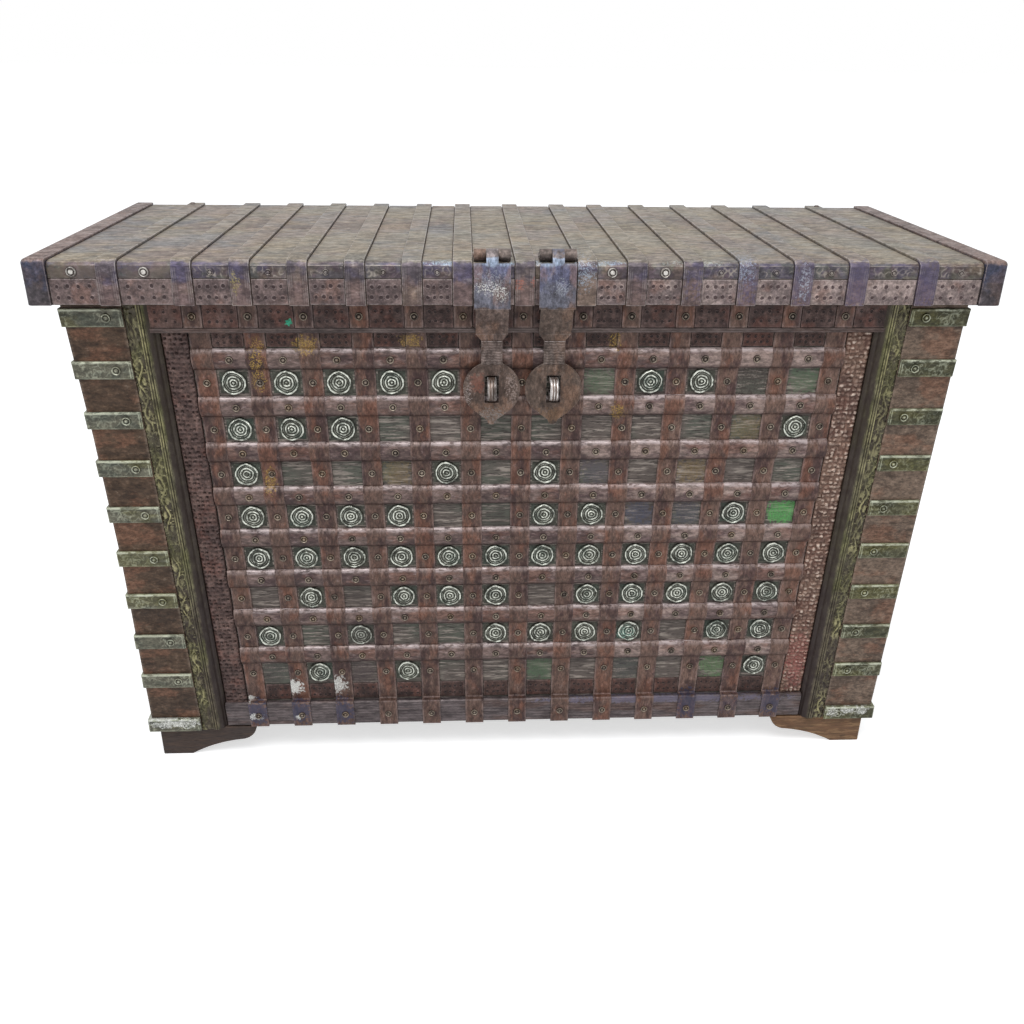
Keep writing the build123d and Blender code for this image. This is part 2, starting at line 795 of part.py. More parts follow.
for name, side in (("hasp_left", -1), ("hasp_right", 1)):
    middle = side * hasp_x
    with BuildPart() as hasp:
        with BuildSketch(Plane.YZ.offset(middle)):
            add(hasp_side())
            make_face()
        extrude(amount=hasp_disc_radius, both=True)
        with BuildSketch(front_plane(wall_face)):
            with BuildLine():
                tongue = barrel_length / 2 - pin_clearance
                plate = hasp_plate_width / 2
                shank = hasp_shank_width / 2
                neck = hasp_neck_width / 2
                shoulder_z = kink_base - hasp_shoulder_height
                half = [
                    (tongue, barrel_z + 2 * barrel_radius),
                    (tongue, plate_top),
                    (plate, plate_top),
                    (plate, kink_top),
                    (shank, kink_top),
                    (shank, kink_base),
                    (neck, shoulder_z),
                    (neck, disc_z),
                ]
                mirrored = [(middle - across, level) for across, level in reversed(half)]
                Polyline(*[(middle + across, level) for across, level in half], *mirrored, close=True)
            make_face()
            with Locations((middle, disc_z)):
                Circle(hasp_disc_radius)
            with BuildLine():
                tail_top = disc_z - hasp_disc_radius + hasp_tail_lap
                Polyline(
                    (middle - hasp_tail_root / 2, tail_top),
                    (middle - hasp_tail_round, hasp_tail_z),
                    (middle + hasp_tail_round, hasp_tail_z),
                    (middle + hasp_tail_root / 2, tail_top),
                    close=True,
                )
            make_face()
            with Locations((middle, hasp_tail_z)):
                Circle(hasp_tail_round)
            with Locations((middle, disc_z)):
                Rectangle(slot_width, slot_height, mode=Mode.SUBTRACT)
        extrude(amount=lid_depth, mode=Mode.INTERSECT)
        with BuildSketch(Plane.YZ.offset(middle)):
            with Locations((barrel_y, barrel_z)):
                Circle(barrel_radius)
        extrude(amount=barrel_length / 2 - pin_clearance, both=True)
        with BuildSketch(Plane.YZ.offset(middle)):
            with Locations((barrel_y, barrel_z)):
                Circle(hasp_pin_radius + pin_clearance)
        extrude(amount=barrel_length, both=True, mode=Mode.SUBTRACT)
    save(hasp.part, name)

with BuildPart() as hasp_hinge_leaves:
    for side in (-1, 1):
        middle = side * hasp_x
        notch_back = barrel_y + bend_outer - barrel_radius + notch_gap
        with BuildSketch(Plane.XY.offset(sheet_top)):
            with Locations((middle, barrel_y + hasp_leaf_length / 2)):
                Rectangle(hasp_plate_width, hasp_leaf_length)
            with Locations((middle, (barrel_y + notch_back) / 2)):
                Rectangle(barrel_length + notch_gap, notch_back - barrel_y, mode=Mode.SUBTRACT)
        extrude(amount=leaf_thickness)
        for end in (-1, 1):
            start = middle + end * barrel_length / 2
            with BuildSketch(Plane.YZ.offset(start + end * pin_clearance)):
                with Locations((barrel_y, barrel_z)):
                    Circle(barrel_radius)
            extrude(amount=end * (barrel_length - pin_clearance))
        with BuildSketch(Plane.YZ.offset(middle)):
            with Locations((barrel_y, barrel_z)):
                Circle(hasp_pin_radius + pin_clearance)
        extrude(amount=hasp_plate_width, both=True, mode=Mode.SUBTRACT)
save(hasp_hinge_leaves.part, "hasp_hinge_leaves")

staple_front = disc_front - staple_reach
staple_z = disc_z + staple_lift
with BuildPart() as staples:
    for side in (-1, 1):
        with BuildSketch(Plane.YZ.offset(side * hasp_x)):
            with BuildLine():
                for reach in (staple_height / 2, staple_height / 2 - staple_bar):
                    bow = staple_front + staple_height / 2
                    Line((wall_face, staple_z + reach), (bow, staple_z + reach))
                    CenterArc((bow, staple_z), reach, 90, 180)
                    Line((bow, staple_z - reach), (wall_face, staple_z - reach))
                for way in (-1, 1):
                    outer_leg = staple_z + way * staple_height / 2
                    Line((wall_face, outer_leg), (wall_face, outer_leg - way * staple_bar))
            make_face()
        extrude(amount=staple_width / 2, both=True)
save(staples.part, "staples")

# ------------------------------------------------------------------ rear hinges
knuckle_y = lid_back + knuckle_gap + knuckle_radius
knuckle_z = joint_z - lid_seat_gap / 2
knuckle_length = hinge_width / 3
hinge_xs = [-outer_strap_x, outer_strap_x]


def hinge_side(thirds, direction, leaf_length):
    """Leaves with their knuckles: thirds of the width that turn, up or down from the pin."""
    with BuildPart() as leaves:
        for place in hinge_xs:
            near = knuckle_z + direction * (knuckle_radius + leaf_gap)
            far = knuckle_z + direction * leaf_length
            with BuildSketch(front_plane(lid_back)):
                with Locations((place, (near + far) / 2)):
                    Rectangle(hinge_width, abs(far - near))
                for third in thirds:
                    with Locations((place + third * knuckle_length, (near + knuckle_z) / 2)):
                        Rectangle(knuckle_length - 2 * pin_clearance, abs(near - knuckle_z))
            extrude(amount=-leaf_thickness)
            for third in thirds:
                with BuildSketch(Plane.YZ.offset(place + third * knuckle_length)):
                    with Locations((knuckle_y, knuckle_z)):
                        Circle(knuckle_radius)
                extrude(amount=knuckle_length / 2 - pin_clearance, both=True)
            with BuildSketch(Plane.YZ.offset(place)):
                with Locations((knuckle_y, knuckle_z)):
                    Circle(rear_pin_radius + pin_clearance)
            extrude(amount=hinge_width, both=True, mode=Mode.SUBTRACT)
    return leaves.part


save(hinge_side((-1, 1), -1, hinge_chest_leaf), "rear_hinge_chest_leaves")
save(hinge_side((0,), 1, hinge_lid_leaf), "rear_hinge_lid_leaves")

with BuildPart() as hinge_pins:
    for place in hinge_xs:
        with BuildSketch(Plane.YZ.offset(place)):
            with Locations((knuckle_y, knuckle_z)):
                Circle(rear_pin_radius)
        extrude(amount=hinge_width / 2 + pin_overhang, both=True)
    for side in (-1, 1):
        with BuildSketch(Plane.YZ.offset(side * hasp_x)):
            with Locations((barrel_y, barrel_z)):
                Circle(hasp_pin_radius)
        extrude(amount=hasp_plate_width / 2 + pin_overhang, both=True)
save(hinge_pins.part, "hinge_pins")
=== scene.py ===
# %% [markdown]
# # A damchiya dowry chest
#
# The chest is a flared plank box that is bound all over with iron: a lattice of straps in front,
# punched plates between them, brass rosettes in the openings, carved pilasters and a lid under
# sheet iron.  The solids come from the construction model.  Here each gets its worn, rusty or
# polished skin, and the small relief that only a mesh can carry.
#
# Everything is in metres: X runs to the right, Y to the back and Z up from the floor.

import json
from math import cos, floor, hypot, pi, radians, sin
from random import Random

import bmesh
import bpy
from mathutils import Matrix, Vector, noise

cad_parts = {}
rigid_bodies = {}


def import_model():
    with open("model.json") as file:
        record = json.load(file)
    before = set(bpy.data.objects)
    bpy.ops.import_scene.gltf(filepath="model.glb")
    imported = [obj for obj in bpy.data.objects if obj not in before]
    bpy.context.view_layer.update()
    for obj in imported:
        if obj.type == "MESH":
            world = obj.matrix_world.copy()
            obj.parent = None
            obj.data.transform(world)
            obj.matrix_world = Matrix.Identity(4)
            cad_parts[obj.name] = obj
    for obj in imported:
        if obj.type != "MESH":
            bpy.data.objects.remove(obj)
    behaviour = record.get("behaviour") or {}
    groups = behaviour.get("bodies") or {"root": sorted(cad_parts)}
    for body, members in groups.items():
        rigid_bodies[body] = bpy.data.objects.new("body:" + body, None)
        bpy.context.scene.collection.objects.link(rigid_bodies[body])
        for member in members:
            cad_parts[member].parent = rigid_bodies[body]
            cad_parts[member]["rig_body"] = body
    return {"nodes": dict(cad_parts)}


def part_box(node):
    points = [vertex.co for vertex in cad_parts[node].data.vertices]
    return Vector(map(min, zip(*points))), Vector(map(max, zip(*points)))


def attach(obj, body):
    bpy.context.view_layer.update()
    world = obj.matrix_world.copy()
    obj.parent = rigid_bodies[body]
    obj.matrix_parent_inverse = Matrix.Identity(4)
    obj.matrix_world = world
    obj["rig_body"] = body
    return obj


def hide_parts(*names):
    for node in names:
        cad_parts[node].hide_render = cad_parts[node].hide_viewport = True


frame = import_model()
nodes = frame["nodes"]
scene = bpy.context.scene
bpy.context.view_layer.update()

# %% [markdown]
# ## The camera
#
# The viewer stands a little left of the middle and looks down at about 25 degrees, close enough
# for the chest to fill the picture and for its sides to draw together towards the floor.  The
# direction is built from a yaw, a pitch and a small roll, so each can be read and changed.

# %% Camera
yaw, pitch, roll = radians(2.912), radians(25.231), radians(-0.704)
forward = Vector((sin(yaw) * cos(pitch), cos(yaw) * cos(pitch), -sin(pitch)))
level_right = Vector((cos(yaw), -sin(yaw), 0))
level_down = forward.cross(level_right)
right = cos(roll) * level_right + sin(roll) * level_down
down = cos(roll) * level_down - sin(roll) * level_right
camera = bpy.data.objects.new("camera", bpy.data.cameras.new("camera"))
camera.data.sensor_width = 36
camera.data.lens = 34.81
standpoint = (-0.09266, -1.80453, 1.23260)
turn = Matrix((right, -down, -forward)).transposed()
camera.matrix_world = Matrix.Translation(standpoint) @ turn.to_4x4()
scene.collection.objects.link(camera)
scene.camera = camera
scene.view_settings.view_transform = "Standard"
print("camera lens:", camera.data.lens)

# %% [markdown]
# ## Building shaders
#
# A material is a tree of nodes.  Small helpers keep the trees readable: one adds a node, sets its
# options and fills or links its sockets, and the others stand for the steps that come again and
# again, such as a soft step or a noise.

# %% Node helpers
def node(tree, kind, inputs=None, **settings):
    """Adds a shader node; a socket given as an input is linked, and any other value is set."""
    made = tree.nodes.new("ShaderNode" + kind)
    for title, value in settings.items():
        setattr(made, title, value)
    for place, value in (inputs or {}).items():
        if isinstance(value, bpy.types.NodeSocket):
            tree.links.new(value, made.inputs[place])
        else:
            made.inputs[place].default_value = value
    return made


def blended(tree, amount, under, over, way="MIX"):
    """The colour over laid on the colour under by an amount from 0 to 1."""
    inputs = {0: amount, 6: under, 7: over}
    return node(tree, "Mix", inputs, data_type="RGBA", blend_type=way).outputs[2]


def ramp(tree, value, low, high, start=0.0, end=1.0):
    """A soft step: start below low, end above high."""
    inputs = {"Value": value, "From Min": low, "From Max": high, "To Min": start, "To Max": end}
    return node(tree, "MapRange", inputs, interpolation_type="SMOOTHSTEP").outputs[0]


def reckon(tree, operation, first, second=0.0):
    """One step of arithmetic on two values."""
    return node(tree, "Math", {0: first, 1: second}, operation=operation).outputs[0]


def mixture(tree, first, second, share):
    """Two values in one: the first counts for its share and the second for the rest."""
    part = reckon(tree, "MULTIPLY", first, share)
    return reckon(tree, "ADD", part, reckon(tree, "MULTIPLY", second, 1 - share))


def shaded(tree, colour, shade):
    """A colour made darker or lighter by a factor."""
    grey = node(tree, "CombineColor", {0: shade, 1: shade, 2: shade}).outputs[0]
    return blended(tree, 1.0, colour, grey, "MULTIPLY")


def cloud(tree, place, scale, detail=3.0, roughness=0.55):
    """Soft random blotches; a larger scale makes them smaller."""
    inputs = {"Vector": place, "Scale": scale, "Detail": detail, "Roughness": roughness}
    return node(tree, "TexNoise", inputs).outputs[0]


print("node helpers ready")

# %% [markdown]
# ## Groups of nodes
#
# An effect such as rust is wanted in many finishes.  Copies of its nodes would soon differ, so it
# is built once as a group, with a socket for each colour or amount that changes from finish to
# finish, and then placed like a single node.

# %% Node groups
def shader_group(title, inputs, outputs):
    """An empty node group with its sockets: its tree, what comes in and where results go."""
    tree = bpy.data.node_groups.new(title, "ShaderNodeTree")
    for label, (kind, value) in inputs.items():
        socket = tree.interface.new_socket(label, in_out="INPUT", socket_type="NodeSocket" + kind)
        socket.default_value = value
    for label, kind in outputs.items():
        tree.interface.new_socket(label, in_out="OUTPUT", socket_type="NodeSocket" + kind)
    entry, result = tree.nodes.new("NodeGroupInput"), tree.nodes.new("NodeGroupOutput")
    return tree, entry.outputs, result.inputs


def use_group(tree, group, inputs):
    """Places a node group in a material with its own values."""
    return node(tree, "Group", inputs, node_tree=group)


print("group helpers ready")

# %% [markdown]
# ## Aged metal
#
# Old sheet iron is never one colour.  Broad clouds of darker patina lie over it, rust gathers in
# blotches, the grain is finely speckled, and hands and cloths keep the raised edges bright.  The
# mesh carries two numbers for this on its points: wear, which is 1 where an edge or crest is
# rubbed, and grime, which is 1 in pits and corners that nobody reaches.  Some pieces also use wear
# for a painted highlight and grime for painted shade.

# %% Aged metal
aged_metal, enter, leave = shader_group(
    "aged metal",
    {
        "Main": ("Color", (0.2, 0.15, 0.13, 1)),
        "Patina": ("Color", (0.5, 0.48, 0.46, 1)),
        "Rust": ("Color", (0.2, 0.09, 0.04, 1)),
        "Bright": ("Color", (0.5, 0.47, 0.45, 1)),
        "Soil And Shade": ("Color", (0.34, 0.27, 0.29, 1)),
        "Rust Amount": ("Float", 0.5),
        "Along": ("Vector", (1, 1, 1)),
        "Wear And Highlight": ("Float", 0.0),
        "Grime And Shade": ("Float", 0.0),
    },
    {"Color": "Color", "Roughness": "Float", "Height": "Float"},
)
place = node(aged_metal, "TexCoord").outputs["Object"]
place = node(aged_metal, "VectorMath", {0: place, 1: enter["Along"]}, operation="MULTIPLY").outputs[0]
other = node(aged_metal, "VectorMath", {0: place, 1: (3.1, 1.7, 5.3)}).outputs[0]
broad = cloud(aged_metal, place, 11, 4)
blotch = cloud(aged_metal, place, 60, 5, 0.65)
rusty = cloud(aged_metal, other, 17, 5, 0.62)
speckle = cloud(aged_metal, other, 230, 4, 0.7)
flecks = cloud(aged_metal, place, 105, 6, 0.75)
patches = mixture(aged_metal, broad, blotch, 0.5)
dull = blended(aged_metal, 1.0, enter["Main"], enter["Patina"], "MULTIPLY")
skin = blended(aged_metal, ramp(aged_metal, patches, 0.45, 0.58), enter["Main"], dull)
rust_share = reckon(aged_metal, "MULTIPLY", ramp(aged_metal, rusty, 0.50, 0.62), enter["Rust Amount"])
skin = blended(aged_metal, rust_share, skin, enter["Rust"])
fine = ramp(aged_metal, speckle, 0.32, 0.68, 0.70, 1.30)
coarse = ramp(aged_metal, flecks, 0.36, 0.64, 0.66, 1.34)
skin = shaded(aged_metal, skin, reckon(aged_metal, "MULTIPLY", fine, coarse))
# Wear lightens towards the bright colour; on some pieces it is also a painted highlight.
rubbed_and_highlight = reckon(aged_metal, "MULTIPLY", enter["Wear And Highlight"], ramp(aged_metal, flecks, 0.40, 0.56, 0.12, 1.0))
rubbed_and_highlight = reckon(aged_metal, "MAXIMUM", rubbed_and_highlight, ramp(aged_metal, flecks, 0.57, 0.70, 0.0, 0.35))
skin = blended(aged_metal, rubbed_and_highlight, skin, enter["Bright"])
# Grime darkens towards the soil colour; on some pieces it is also painted shade.
soot_and_shade = blended(aged_metal, 1.0, dull, enter["Soil And Shade"], "MULTIPLY")
skin = blended(aged_metal, enter["Grime And Shade"], skin, soot_and_shade)
aged_metal.links.new(skin, leave["Color"])
rubbed_gloss = reckon(aged_metal, "MULTIPLY", rubbed_and_highlight, 0.14)
gloss = reckon(aged_metal, "SUBTRACT", ramp(aged_metal, blotch, 0.3, 0.7, 0.40, 0.64), rubbed_gloss)
aged_metal.links.new(gloss, leave["Roughness"])
aged_metal.links.new(mixture(aged_metal, speckle, blotch, 0.4), leave["Height"])
print("aged metal:", len(aged_metal.nodes), "nodes")

# %% [markdown]
# ## Old wood
#
# The planks run from side to side, so their grain is noise that is stretched along X: long pale
# streaks between dark pores.  Each plank also carries a tone, which makes it darker or lighter.

# %% Old wood
old_wood, enter, leave = shader_group(
    "old wood",
    {
        "Main": ("Color", (0.16, 0.14, 0.12, 1)),
        "Dark": ("Color", (0.05, 0.04, 0.035, 1)),
        "Pale": ("Color", (0.3, 0.27, 0.22, 1)),
        "Stain": ("Color", (0.12, 0.13, 0.1, 1)),
        "Along": ("Vector", (1.5, 16, 16)),
        "Wear And Highlight": ("Float", 0.0),
        "Grime And Shade": ("Float", 0.0),
        "Tone": ("Float", 0.0),
    },
    {"Color": "Color", "Roughness": "Float", "Height": "Float"},
)
place = node(old_wood, "TexCoord").outputs["Object"]
stretched = node(old_wood, "VectorMath", {0: place, 1: enter["Along"]}, operation="MULTIPLY").outputs[0]
streaks = cloud(old_wood, stretched, 13, 5, 0.65)
pores = cloud(old_wood, stretched, 40, 3, 0.6)
stains = cloud(old_wood, place, 9, 3)
tint = cloud(old_wood, node(old_wood, "VectorMath", {0: place, 1: (7.3, 2.9, 4.1)}).outputs[0], 8, 2)
base = blended(old_wood, ramp(old_wood, tint, 0.42, 0.58), enter["Main"], enter["Stain"])
skin = blended(old_wood, ramp(old_wood, streaks, 0.48, 0.62), base, enter["Pale"])
skin = blended(old_wood, ramp(old_wood, stains, 0.50, 0.70, 0.0, 0.6), skin, enter["Dark"])
skin = blended(old_wood, ramp(old_wood, pores, 0.52, 0.64, 0.0, 0.9), skin, enter["Dark"])
skin = blended(old_wood, reckon(old_wood, "MULTIPLY", enter["Wear And Highlight"], 0.5), skin, enter["Pale"])
skin = blended(old_wood, reckon(old_wood, "MULTIPLY", enter["Grime And Shade"], 0.85), skin, enter["Dark"])
skin = shaded(old_wood, skin, reckon(old_wood, "ADD", 1.0, enter["Tone"]))
old_wood.links.new(skin, leave["Color"])
old_wood.links.new(ramp(old_wood, streaks, 0.3, 0.7, 0.62, 0.82), leave["Roughness"])
old_wood.links.new(reckon(old_wood, "ADD", streaks, pores), leave["Height"])
print("old wood:", len(old_wood.nodes), "nodes")

# %% [markdown]
# ## Marks at one place
#
# A flake of old paint or a green stain sits at one place only.  This group lays another colour
# round a place, within its reach.  Noise frays the edge, and a finer noise breaks the mark up.

# %% Single marks
mark, enter, leave = shader_group(
    "mark",
    {
        "Color": ("Color", (0.2, 0.2, 0.2, 1)),
        "Mark": ("Color", (0.4, 0.3, 0.2, 1)),
        "Place": ("Vector", (0, 0, 0)),
        "Reach": ("Vector", (0.01, 1, 0.01)),
        "Strength": ("Float", 0.8),
        "Broken": ("Float", 0.0),
    },
    {"Color": "Color"},
)
place = node(mark, "TexCoord").outputs["Object"]
offset = node(mark, "VectorMath", {0: place, 1: enter["Place"]}, operation="SUBTRACT").outputs[0]
shares = node(mark, "VectorMath", {0: offset, 1: enter["Reach"]}, operation="DIVIDE").outputs[0]
away = node(mark, "VectorMath", {0: shares}, operation="LENGTH").outputs["Value"]
frayed = reckon(mark, "ADD", away, ramp(mark, cloud(mark, place, 170, 5, 0.7), 0.3, 0.7, -0.55, 0.55))
covered = reckon(mark, "MULTIPLY", ramp(mark, frayed, 0.7, 1.05, 1.0, 0.0), enter["Strength"])
lost = ramp(mark, cloud(mark, place, 420, 4, 0.65), 0.49, 0.57, 1.0, 0.0)
broken = reckon(mark, "MULTIPLY", enter["Broken"], lost)
covered = reckon(mark, "MULTIPLY", covered, reckon(mark, "SUBTRACT", 1.0, broken))
mark.links.new(blended(mark, covered, enter["Color"], enter["Mark"]), leave["Color"])
print("mark:", len(mark.nodes), "nodes")

# %% [markdown]
# ## Zones, marks and the surface
#
# Zones tint a whole stretch of a piece, and marks lie on top of the aged colour.  Every finish ends
# in the same way, with one Principled BSDF.

# %% Finish helpers
def value_on_points(tree, label):
    """A number that the mesh carries on its points or faces."""
    return node(tree, "Attribute", attribute_name=label).outputs["Fac"]


def with_marks(tree, colour, marks):
    """Lays single marks over a colour: (place, reach, colour, strength, share that is broken)."""
    for spot, reach, tint, strength, broken in marks:
        inputs = {
            "Color": colour,
            "Mark": (*tint, 1),
            "Place": spot,
            "Reach": reach,
            "Strength": strength,
            "Broken": broken,
        }
        colour = use_group(tree, mark, inputs).outputs["Color"]
    return colour


def with_zones(tree, colour, zones):
    """Tints whole stretches of a piece: (axis, from, full, colour, strength, patch scale)."""
    place = node(tree, "TexCoord").outputs["Object"]
    for axis, start, full, tint, strength, patchy in zones:
        along = node(tree, "SeparateXYZ", {0: place}).outputs[axis]
        low, high = min(start, full), max(start, full)
        fray = ramp(tree, cloud(tree, place, 70, 3), 0.3, 0.7, 0.4 * (low - high), 0.4 * (high - low))
        ends = (0.0, strength) if full > start else (strength, 0.0)
        amount = ramp(tree, reckon(tree, "ADD", along, fray), low, high, *ends)
        if patchy:
            blots = cloud(tree, place, patchy, 3)
            amount = reckon(tree, "MULTIPLY", amount, ramp(tree, blots, 0.46, 0.56))
        colour = blended(tree, amount, colour, (*tint, 1))
    return colour


def blank_material(title):
    """A new material that holds one Principled BSDF, and its tree."""
    made = bpy.data.materials.new(title)
    made.use_nodes = True
    return made, made.node_tree


def finish_surface(tree, colour, aged, metallic, bump):
    """Ends a material: one Principled BSDF with its colour, gloss and fine relief."""
    relief = node(tree, "Bump", {"Height": aged["Height"], "Strength": bump, "Distance": 0.001})
    skin = tree.nodes["Principled BSDF"]
    tree.links.new(colour, skin.inputs["Base Color"])
    tree.links.new(aged["Roughness"], skin.inputs["Roughness"])
    tree.links.new(relief.outputs[0], skin.inputs["Normal"])
    skin.inputs["Metallic"].default_value = metallic
    skin.inputs["Specular IOR Level"].default_value = 0.4


print("finish helpers ready")

# %% [markdown]
# ## Two recipes
#
# Each finish places a group with its own colours and reads wear and grime from the mesh, with the
# painted highlights and painted shade that some pieces carry in them.  The metals stay mostly rough
# and only partly metallic, because patina is a crust on the metal and not the metal itself.

# %% Metal and wood
def metal(
    title, main, patina, rust, bright, rust_amount=0.5, metallic=0.3, along=(1, 1, 1), zones=(), marks=(),
    soil_and_shade=(0.34, 0.27, 0.29),
):
    """An aged metal: its own colour, what dulls it, its rust and its rubbed edges."""
    made, tree = blank_material(title)
    base = (*main, 1)
    if zones:
        base = with_zones(tree, base, zones)
    inputs = {
        "Main": base,
        "Patina": (*patina, 1),
        "Rust": (*rust, 1),
        "Bright": (*bright, 1),
        "Soil And Shade": (*soil_and_shade, 1),
        "Rust Amount": rust_amount,
        "Along": along,
        "Wear And Highlight": value_on_points(tree, "wear_and_highlight"),
        "Grime And Shade": value_on_points(tree, "grime_and_shade"),
    }
    aged = use_group(tree, aged_metal, inputs).outputs
    finish_surface(tree, with_marks(tree, aged["Color"], marks), aged, metallic, 0.4)
    return made


def wood(title, main, dark, pale, stain, marks=()):
    """An old wood: its own colour, its pores, its pale streaks and a stain in broad patches."""
    made, tree = blank_material(title)
    inputs = {
        "Main": (*main, 1),
        "Dark": (*dark, 1),
        "Pale": (*pale, 1),
        "Stain": (*stain, 1),
        "Along": (1.5, 16, 16),
        "Wear And Highlight": value_on_points(tree, "wear_and_highlight"),
        "Grime And Shade": value_on_points(tree, "grime_and_shade"),
        "Tone": value_on_points(tree, "tone"),
    }
    aged = use_group(tree, old_wood, inputs).outputs
    finish_surface(tree, with_marks(tree, aged["Color"], marks), aged, 0.0, 0.5)
    return made


print("recipes ready")

# %% [markdown]
# ## Wood finishes
#
# The boards behind the lattice have gone grey-brown, with green and ochre remains of paint in
# some openings.  Three feet are nearly black with age, and the one replaced later is still warm.

# %% Wood finishes
green, deep_green, ochre = (0.10, 0.42, 0.10), (0.09, 0.19, 0.09), (0.42, 0.27, 0.06)
top_row, row_drop = 0.735, 0.080
top_pitch, pitch_loss = 0.0852, 0.00045  # the openings draw together from row to row


def window_mark(column, row, tint, strength):
    """A stain that fills one opening, counted from 1 from the top left."""
    x = (column - 6.5) * (top_pitch - (row - 1) * pitch_loss)
    z = top_row - (row - 1) * row_drop
    return (x, -0.249, z), (0.030, 0.1, 0.030), tint, strength, 0.5


window_stains = [
    window_mark(12, 4, green, 0.8),
    window_mark(11, 8, (0.12, 0.30, 0.10), 0.45),
    window_mark(7, 8, deep_green, 0.5),
    window_mark(8, 1, deep_green, 0.4),
    window_mark(12, 1, deep_green, 0.45),
    window_mark(11, 1, (0.04, 0.03, 0.025), 0.8),
    window_mark(9, 4, (0.07, 0.08, 0.13), 0.6),
    window_mark(10, 4, (0.06, 0.06, 0.09), 0.6),
    window_mark(4, 3, ochre, 0.22),
    window_mark(10, 3, ochre, 0.25),
    window_mark(11, 2, ochre, 0.2),
    window_mark(8, 3, (0.09, 0.08, 0.11), 0.5),
    window_mark(1, 8, (0.05, 0.04, 0.04), 0.6),
    window_mark(3, 8, (0.06, 0.04, 0.045), 0.6),
    window_mark(9, 8, (0.05, 0.045, 0.05), 0.6),
    window_mark(9, 7, (0.09, 0.05, 0.045), 0.6),
]
board_wood = wood(
    "board wood",
    (0.115, 0.092, 0.080), (0.035, 0.027, 0.024), (0.34, 0.29, 0.25), (0.095, 0.098, 0.078),
    marks=window_stains,
)
carcass_wood = wood(
    "carcass wood",
    (0.112, 0.084, 0.066), (0.045, 0.034, 0.027), (0.175, 0.138, 0.110), (0.094, 0.082, 0.064),
)
lid_wood = wood("lid wood", (0.12, 0.08, 0.06), (0.04, 0.028, 0.02), (0.2, 0.15, 0.11), (0.10, 0.07, 0.055))
foot_old = wood(
    "old foot wood",
    (0.050, 0.032, 0.025), (0.022, 0.014, 0.012), (0.085, 0.055, 0.042), (0.042, 0.028, 0.024),
)
foot_new = wood(
    "new foot wood",
    (0.20, 0.105, 0.055), (0.07, 0.04, 0.02), (0.32, 0.19, 0.10), (0.16, 0.08, 0.04),
)
print("wood finishes:", len(bpy.data.materials))

# %% [markdown]
# ## The lid's iron
#
# All metals share one recipe and differ in their colours.  The lid's iron is olive-grey on top and
# brown on the front edge, with blue and violet temper colours along the bend, so its zones follow
# the height.  Pale blue strokes along the bend near the hasps are painted highlights.

# %% Lid iron
blue, violet = (0.10, 0.12, 0.22), (0.10, 0.075, 0.14)
lid_top_patches = [
    ("Z", 0.9335, 0.9355, (0.150, 0.156, 0.162), 0.55, 8),
    ("Z", 0.9335, 0.9355, (0.225, 0.165, 0.128), 0.50, 11),
    ("Z", 0.9335, 0.9355, (0.235, 0.205, 0.140), 0.50, 6),
]
edge_bend = [("X", 0.05, 0.45, (0.226, 0.188, 0.150), 1.0, None)] + lid_top_patches + [
    ("Z", 0.9352, 0.9325, (0.128, 0.092, 0.084), 1.0, None),
    ("Z", 0.9352, 0.9325, blue, 0.36, 19),
    ("Z", 0.9352, 0.9325, (0.12, 0.13, 0.09), 0.55, 27),
    ("Z", 0.9352, 0.9325, violet, 0.30, 23),
]
strap_bend = lid_top_patches + [
    ("Z", 0.9375, 0.9335, (0.100, 0.080, 0.092), 1.0, None),
    ("Z", 0.9375, 0.9335, (0.075, 0.065, 0.130), 0.6, 14),
    ("Z", 0.9180, 0.9000, (0.170, 0.112, 0.098), 0.85, None),
]
strap_marks = [
    ((0.56, -0.292, 0.905), (0.30, 0.02, 0.045), (0.105, 0.088, 0.165), 0.6, 0.4),
    ((-0.0125, -0.294, 0.9038), (0.013, 0.1, 0.009), (0.42, 0.12, 0.07), 0.6, 0.9),
    ((0.0157, -0.294, 0.9054), (0.006, 0.1, 0.008), (0.42, 0.12, 0.07), 0.6, 0.9),
    ((0.0892, -0.294, 0.9200), (0.020, 0.1, 0.026), (0.40, 0.48, 0.58), 0.5, 1.0),
    ((0.3363, -0.294, 0.9240), (0.018, 0.1, 0.022), (0.40, 0.46, 0.56), 0.45, 1.0),
    ((0.4314, -0.294, 0.9060), (0.010, 0.1, 0.030), (0.46, 0.50, 0.56), 0.5, 1.0),
    ((-0.4370, -0.294, 0.9048), (0.008, 0.1, 0.016), (0.40, 0.33, 0.12), 0.6, 0.9),
]
edge_marks_and_highlights = [
    ((-0.6750, -0.290, 0.9200), (0.060, 0.02, 0.016), (0.120, 0.086, 0.070), 0.65, 0.2),
    ((-0.5650, -0.290, 0.9200), (0.060, 0.02, 0.016), (0.112, 0.084, 0.084), 0.65, 0.2),
    # The two marks before are the iron's own brown; these pale blue strokes along the bend are painted
    # highlights.
    ((-0.1150, -0.289, 0.9335), (0.036, 0.02, 0.0035), (0.46, 0.60, 0.70), 0.55, 0.7),
    ((0.0040, -0.289, 0.9335), (0.030, 0.02, 0.0035), (0.44, 0.58, 0.68), 0.55, 0.7),
    ((0.1150, -0.289, 0.9335), (0.045, 0.02, 0.0035), (0.42, 0.54, 0.66), 0.5, 0.8),
    ((0.2600, -0.289, 0.9340), (0.050, 0.02, 0.0040), (0.46, 0.52, 0.50), 0.45, 0.9),
]
lid_iron = metal(
    "lid iron", (0.194, 0.158, 0.132), (0.74, 0.75, 0.80), (0.25, 0.195, 0.125), (0.31, 0.27, 0.235),
    rust_amount=0.45, along=(0.6, 1.3, 1), zones=edge_bend, marks=edge_marks_and_highlights,
)
